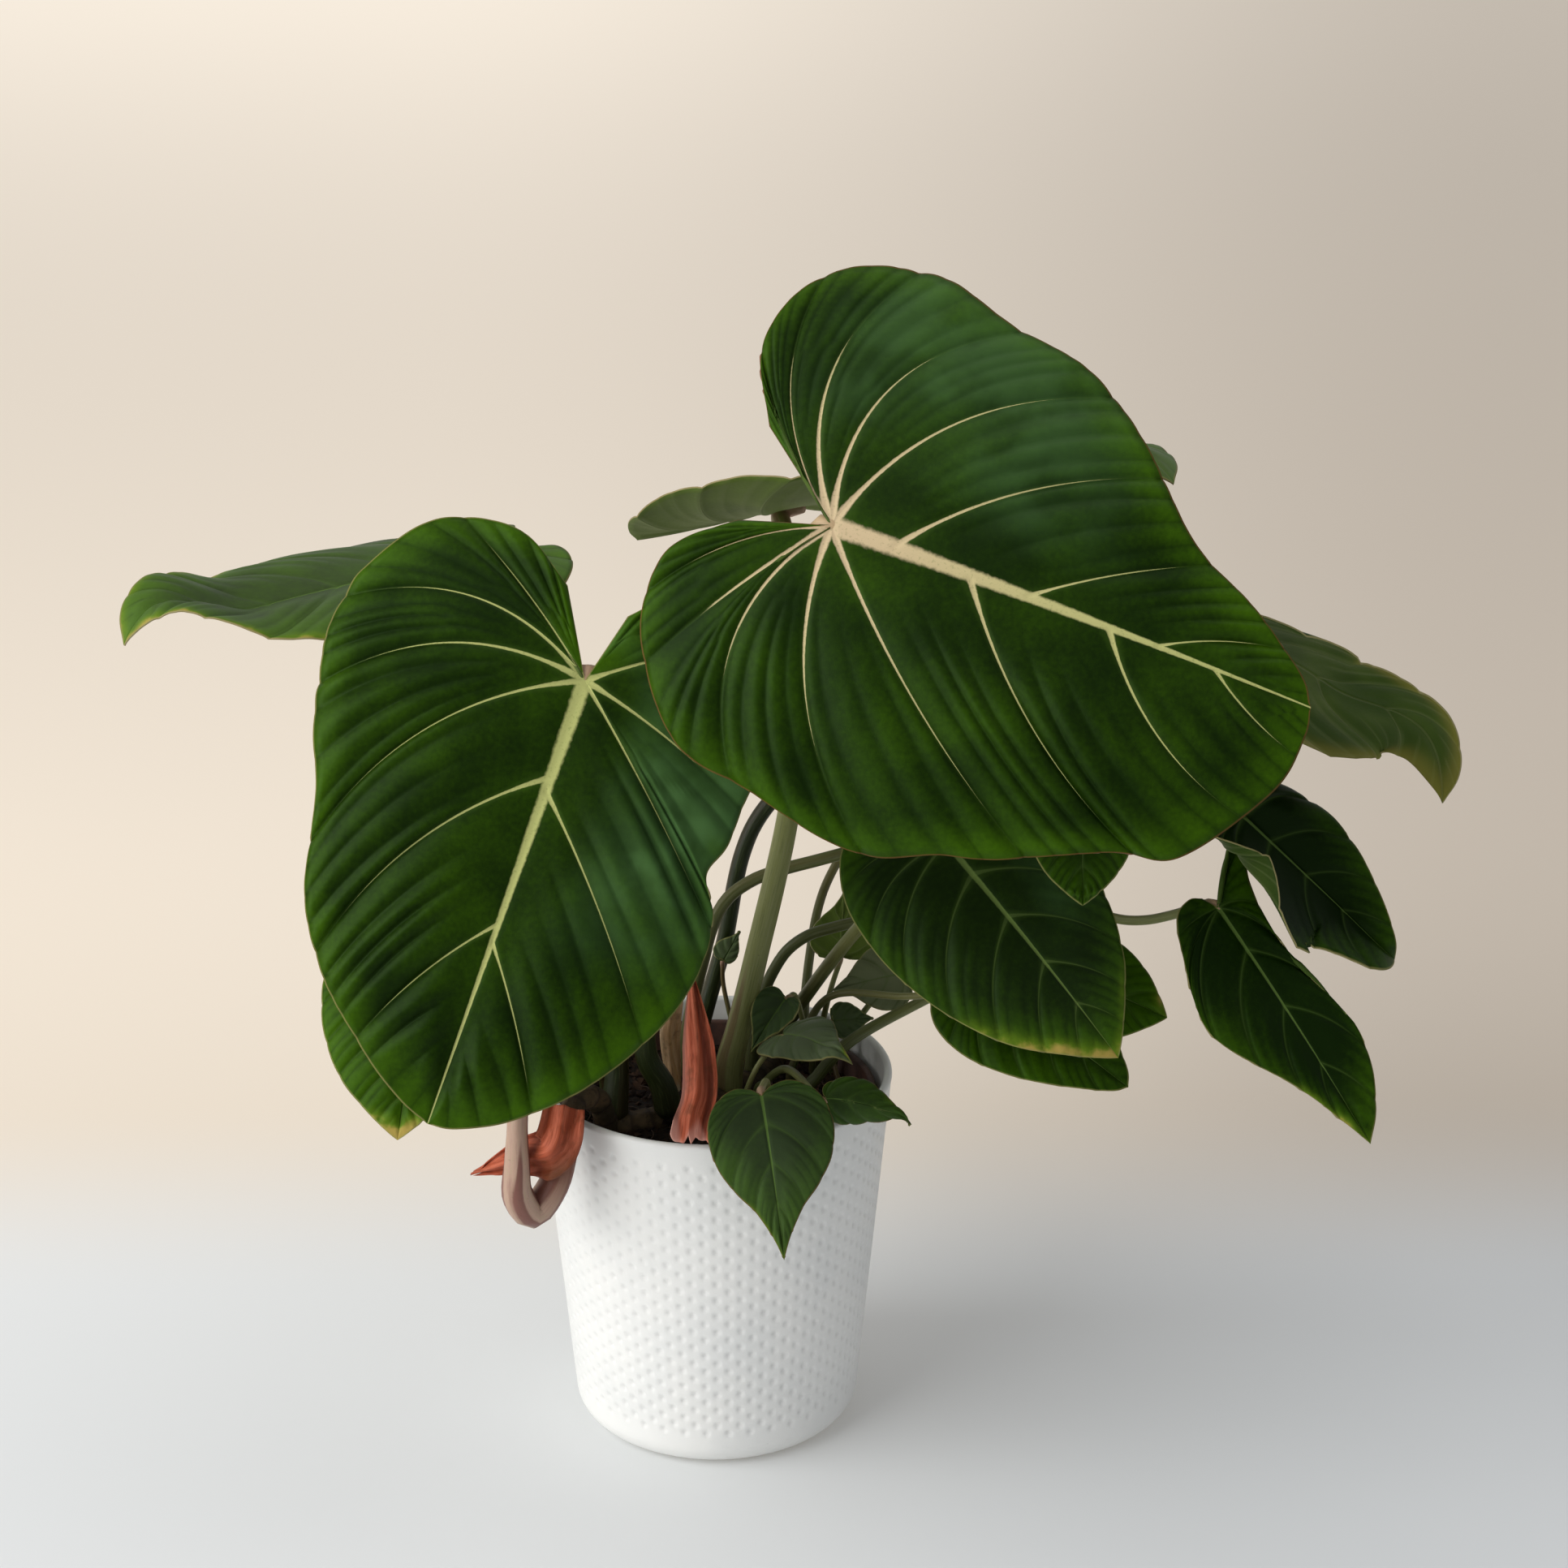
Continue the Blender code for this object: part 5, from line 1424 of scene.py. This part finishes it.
def make_sheath(name, sheath, finish, slot):
    """A bract: a strip along its middle line, ridged lengthwise and crumpled like dry paper."""
    drape = DRAPES[name]
    rows, columns = BRACT_GRID
    middle = smooth_path(sheath.points, rows + 1)
    share = np.linspace(0, 1, rows + 1)
    widths = np.interp(share, np.linspace(0, 1, len(sheath.widths)), sheath.widths)
    ahead = unit(np.gradient(middle, axis=0))
    facing = np.array(sheath.facing)
    up = unit(facing - ahead * (ahead @ facing)[:, None])
    sideways = np.cross(up, ahead)
    mesh, column, row = grid_mesh("sheath_" + name, columns, rows)
    x = column / columns * 2 - 1
    trough = math.radians(sheath.trough)
    reach = x * widths[row] / 2
    run = share[row]
    fold = np.cos(x * math.pi * drape.ridges + 0.7 + 0.6 * np.sin(run * 4))
    fold = fold + 0.25 * np.cos(x * math.pi * drape.ridges * 2.7 + 2.0 * run)
    ridge = drape.ridge * fold * (0.5 + 0.5 * widths[row] / widths.max())
    lift = np.abs(reach) * math.sin(trough) + ridge
    spot = middle[row] + sideways[row] * (reach * math.cos(trough))[:, None]
    lift = lift + drape.crumple * ripple(spot, 260.0, len(name)) * (0.4 + 0.6 * np.abs(x))
    lift = lift + drape.flare * np.abs(x) ** 3 * eased(run, 0.75, 1.0)
    ragged = drape.crumple * np.sin(x * 9 + 2 * np.sin(x * 5)) * eased(run, 0.9, 1.0) * 2
    set_coordinates(mesh, spot + up[row] * lift[:, None] + ahead[row] * ragged[:, None])
    set_grain(mesh, reach, lift, run * 0.06 + len(name))
    end = eased(run + 0.06 * np.sin(x * 5), 0.90, 1.0)
    patch = drape.patch * np.exp(-((x - 0.85) / 0.5) ** 2 - ((run - 0.42) / 0.16) ** 2)
    set_attributes(
        mesh,
        # The painted shade of the fold hollows.
        fold=drape.dark * eased(-fold, 0.25, 1.0),
        lip=drape.lip * (end + 0.35 * eased(-x, 0.5, 1.0)),
        rot=np.maximum(drape.rot * eased(run + 0.25 * x, 0.55, 1.1), patch),
    )
    mesh.shade_smooth()
    obj = piece("sheath_" + name + "_papery", mesh, [finish], slot, "sheath_" + name)
    thicken(obj, BRACT_THICKNESS, offset=0.0)


# ---------------------------------------------------------------- floor, light and camera

FLOOR_SIZE = 14.0
FLOOR_DROP = 0.0001  # keeps it clear of the pot's foot
WEDGE_FRONT = 1.45  # metres in front of the pot, where the wedge of painted shade on the floor starts
FLOOR_NEAR = (0.62, 0.65, 0.67)
FLOOR_FAR = (0.64, 0.56, 0.46)
FLOOR_PAINTED_SHADE = (0.36, 0.31, 0.27)
FLOOR_PAINTED_GLOW = (1.0, 0.91, 0.78)
LAMPS = (
    ("window", (-2.15, -1.15, 1.55), 82.0, 3.0, (1.0, 0.985, 0.96)),
    ("ceiling", (0.3, 0.1, 2.6), 12.0, 2.4, (1.0, 0.98, 0.95)),
)
LAMP_AIM = (0.03, 0.0, 0.25)
SKY = (0.97, 0.97, 1.0)
SKY_STRENGTH = 0.42


def make_floor():
    """A pale floor, cooler by the pot, with painted shade behind it to the right and a painted glow,
    stronger further back and weaker to the right.
    """
    mesh, _, _ = grid_mesh("floor", 1, 1, FLOOR_SIZE)
    set_coordinates(mesh, coordinates(mesh) - (0, 0, FLOOR_DROP))
    placed("floor", mesh)
    finish = Finish("pale_floor", 0.75)
    spot = finish.node("ShaderNodeTexCoord", {}, {}, "Object")
    across = finish.node("ShaderNodeSeparateXYZ", {}, {"Vector": spot}, "X")
    back = finish.node("ShaderNodeSeparateXYZ", {}, {"Vector": spot}, "Y")
    color = finish.mix(back.eased(0.10, 0.34), FLOOR_NEAR, FLOOR_FAR)
    depth = (back + WEDGE_FRONT).most(0.3)
    turn = across / depth
    # Painted shade: a wedge behind the pot to the right, darker the further right.
    painted_shade = turn.eased(-0.05, 0.22) * back.eased(3.0, 0.3) * back.eased(0.1, 0.34)
    color = finish.mix(painted_shade * 0.32, color, FLOOR_PAINTED_SHADE)
    # Painted light: the floor glows, more further back and less to the right, which lifts its shadows.
    painted_glow = back.eased(-0.2, 0.8) * 0.18 + 0.13 + back.eased(0.8, 6.0) * 0.34
    painted_glow = painted_glow * (1 - turn.eased(-0.1, 0.26) * 0.6)
    finish.join(finish.mix(painted_glow, (0.0, 0.0, 0.0), FLOOR_PAINTED_GLOW), "Emission Color")
    finish.shader.inputs["Emission Strength"].default_value = 1.0
    mesh.materials.append(finish.paint(color))


def make_lights():
    """A broad soft light from the upper left, a weak one above and a fill from all round."""
    for name, spot, power, size, warmth in LAMPS:
        light = bpy.data.lights.new(name, "AREA")
        light.shape = "DISK"
        light.size = size
        light.energy = power
        light.color = warmth
        lamp = placed(name, light)
        lamp.location = spot
        aim = Vector(LAMP_AIM) - Vector(spot)
        lamp.rotation_euler = aim.to_track_quat("-Z", "Y").to_euler()
    world = bpy.data.worlds.new("soft_room")
    bpy.context.scene.world = world
    world.use_nodes = True
    sky = world.node_tree.nodes["Background"]
    sky.inputs["Color"].default_value = (*SKY, 1.0)
    sky.inputs["Strength"].default_value = SKY_STRENGTH
    bpy.context.scene.view_settings.view_transform = "Standard"


CAMERA_LENS = 76.4
CAMERA_SENSOR = 36.0
CAMERA_SPOT = (0.0, -1.4465, 0.8638)
CAMERA_DOWN = 20.45  # degrees below level, and degrees to the right of straight back
CAMERA_RIGHT = 1.315


def make_camera():
    """A long lens, level sideways, that looks a little down and to the right."""
    camera = bpy.data.cameras.new("camera")
    camera.lens = CAMERA_LENS
    camera.sensor_width = CAMERA_SENSOR
    obj = placed("camera", camera)
    obj.location = CAMERA_SPOT
    obj.rotation_euler = (math.radians(90 - CAMERA_DOWN), 0.0, math.radians(-CAMERA_RIGHT))
    bpy.context.scene.camera = obj


def main():
    make_camera()
    make_cover_pot()
    make_grow_pot()
    make_soil()
    make_rhizome()
    blades = [leaf_finish(), underside_finish(), edge_finish()]
    stalks = stalk_finish()
    for name, leaf in LEAVES.items():
        make_leaf(name, leaf, blades)
        make_stalk(name, STALKS[name], leaf, stalks)
    bracts = {kind: bract_finish(kind) for kind in BRACTS}
    for name, sheath in SHEATHS.items():
        kind = name.split("_")[0]
        make_sheath(name, sheath, bracts[kind], "bract_" + kind)
    make_floor()
    make_lights()


main()
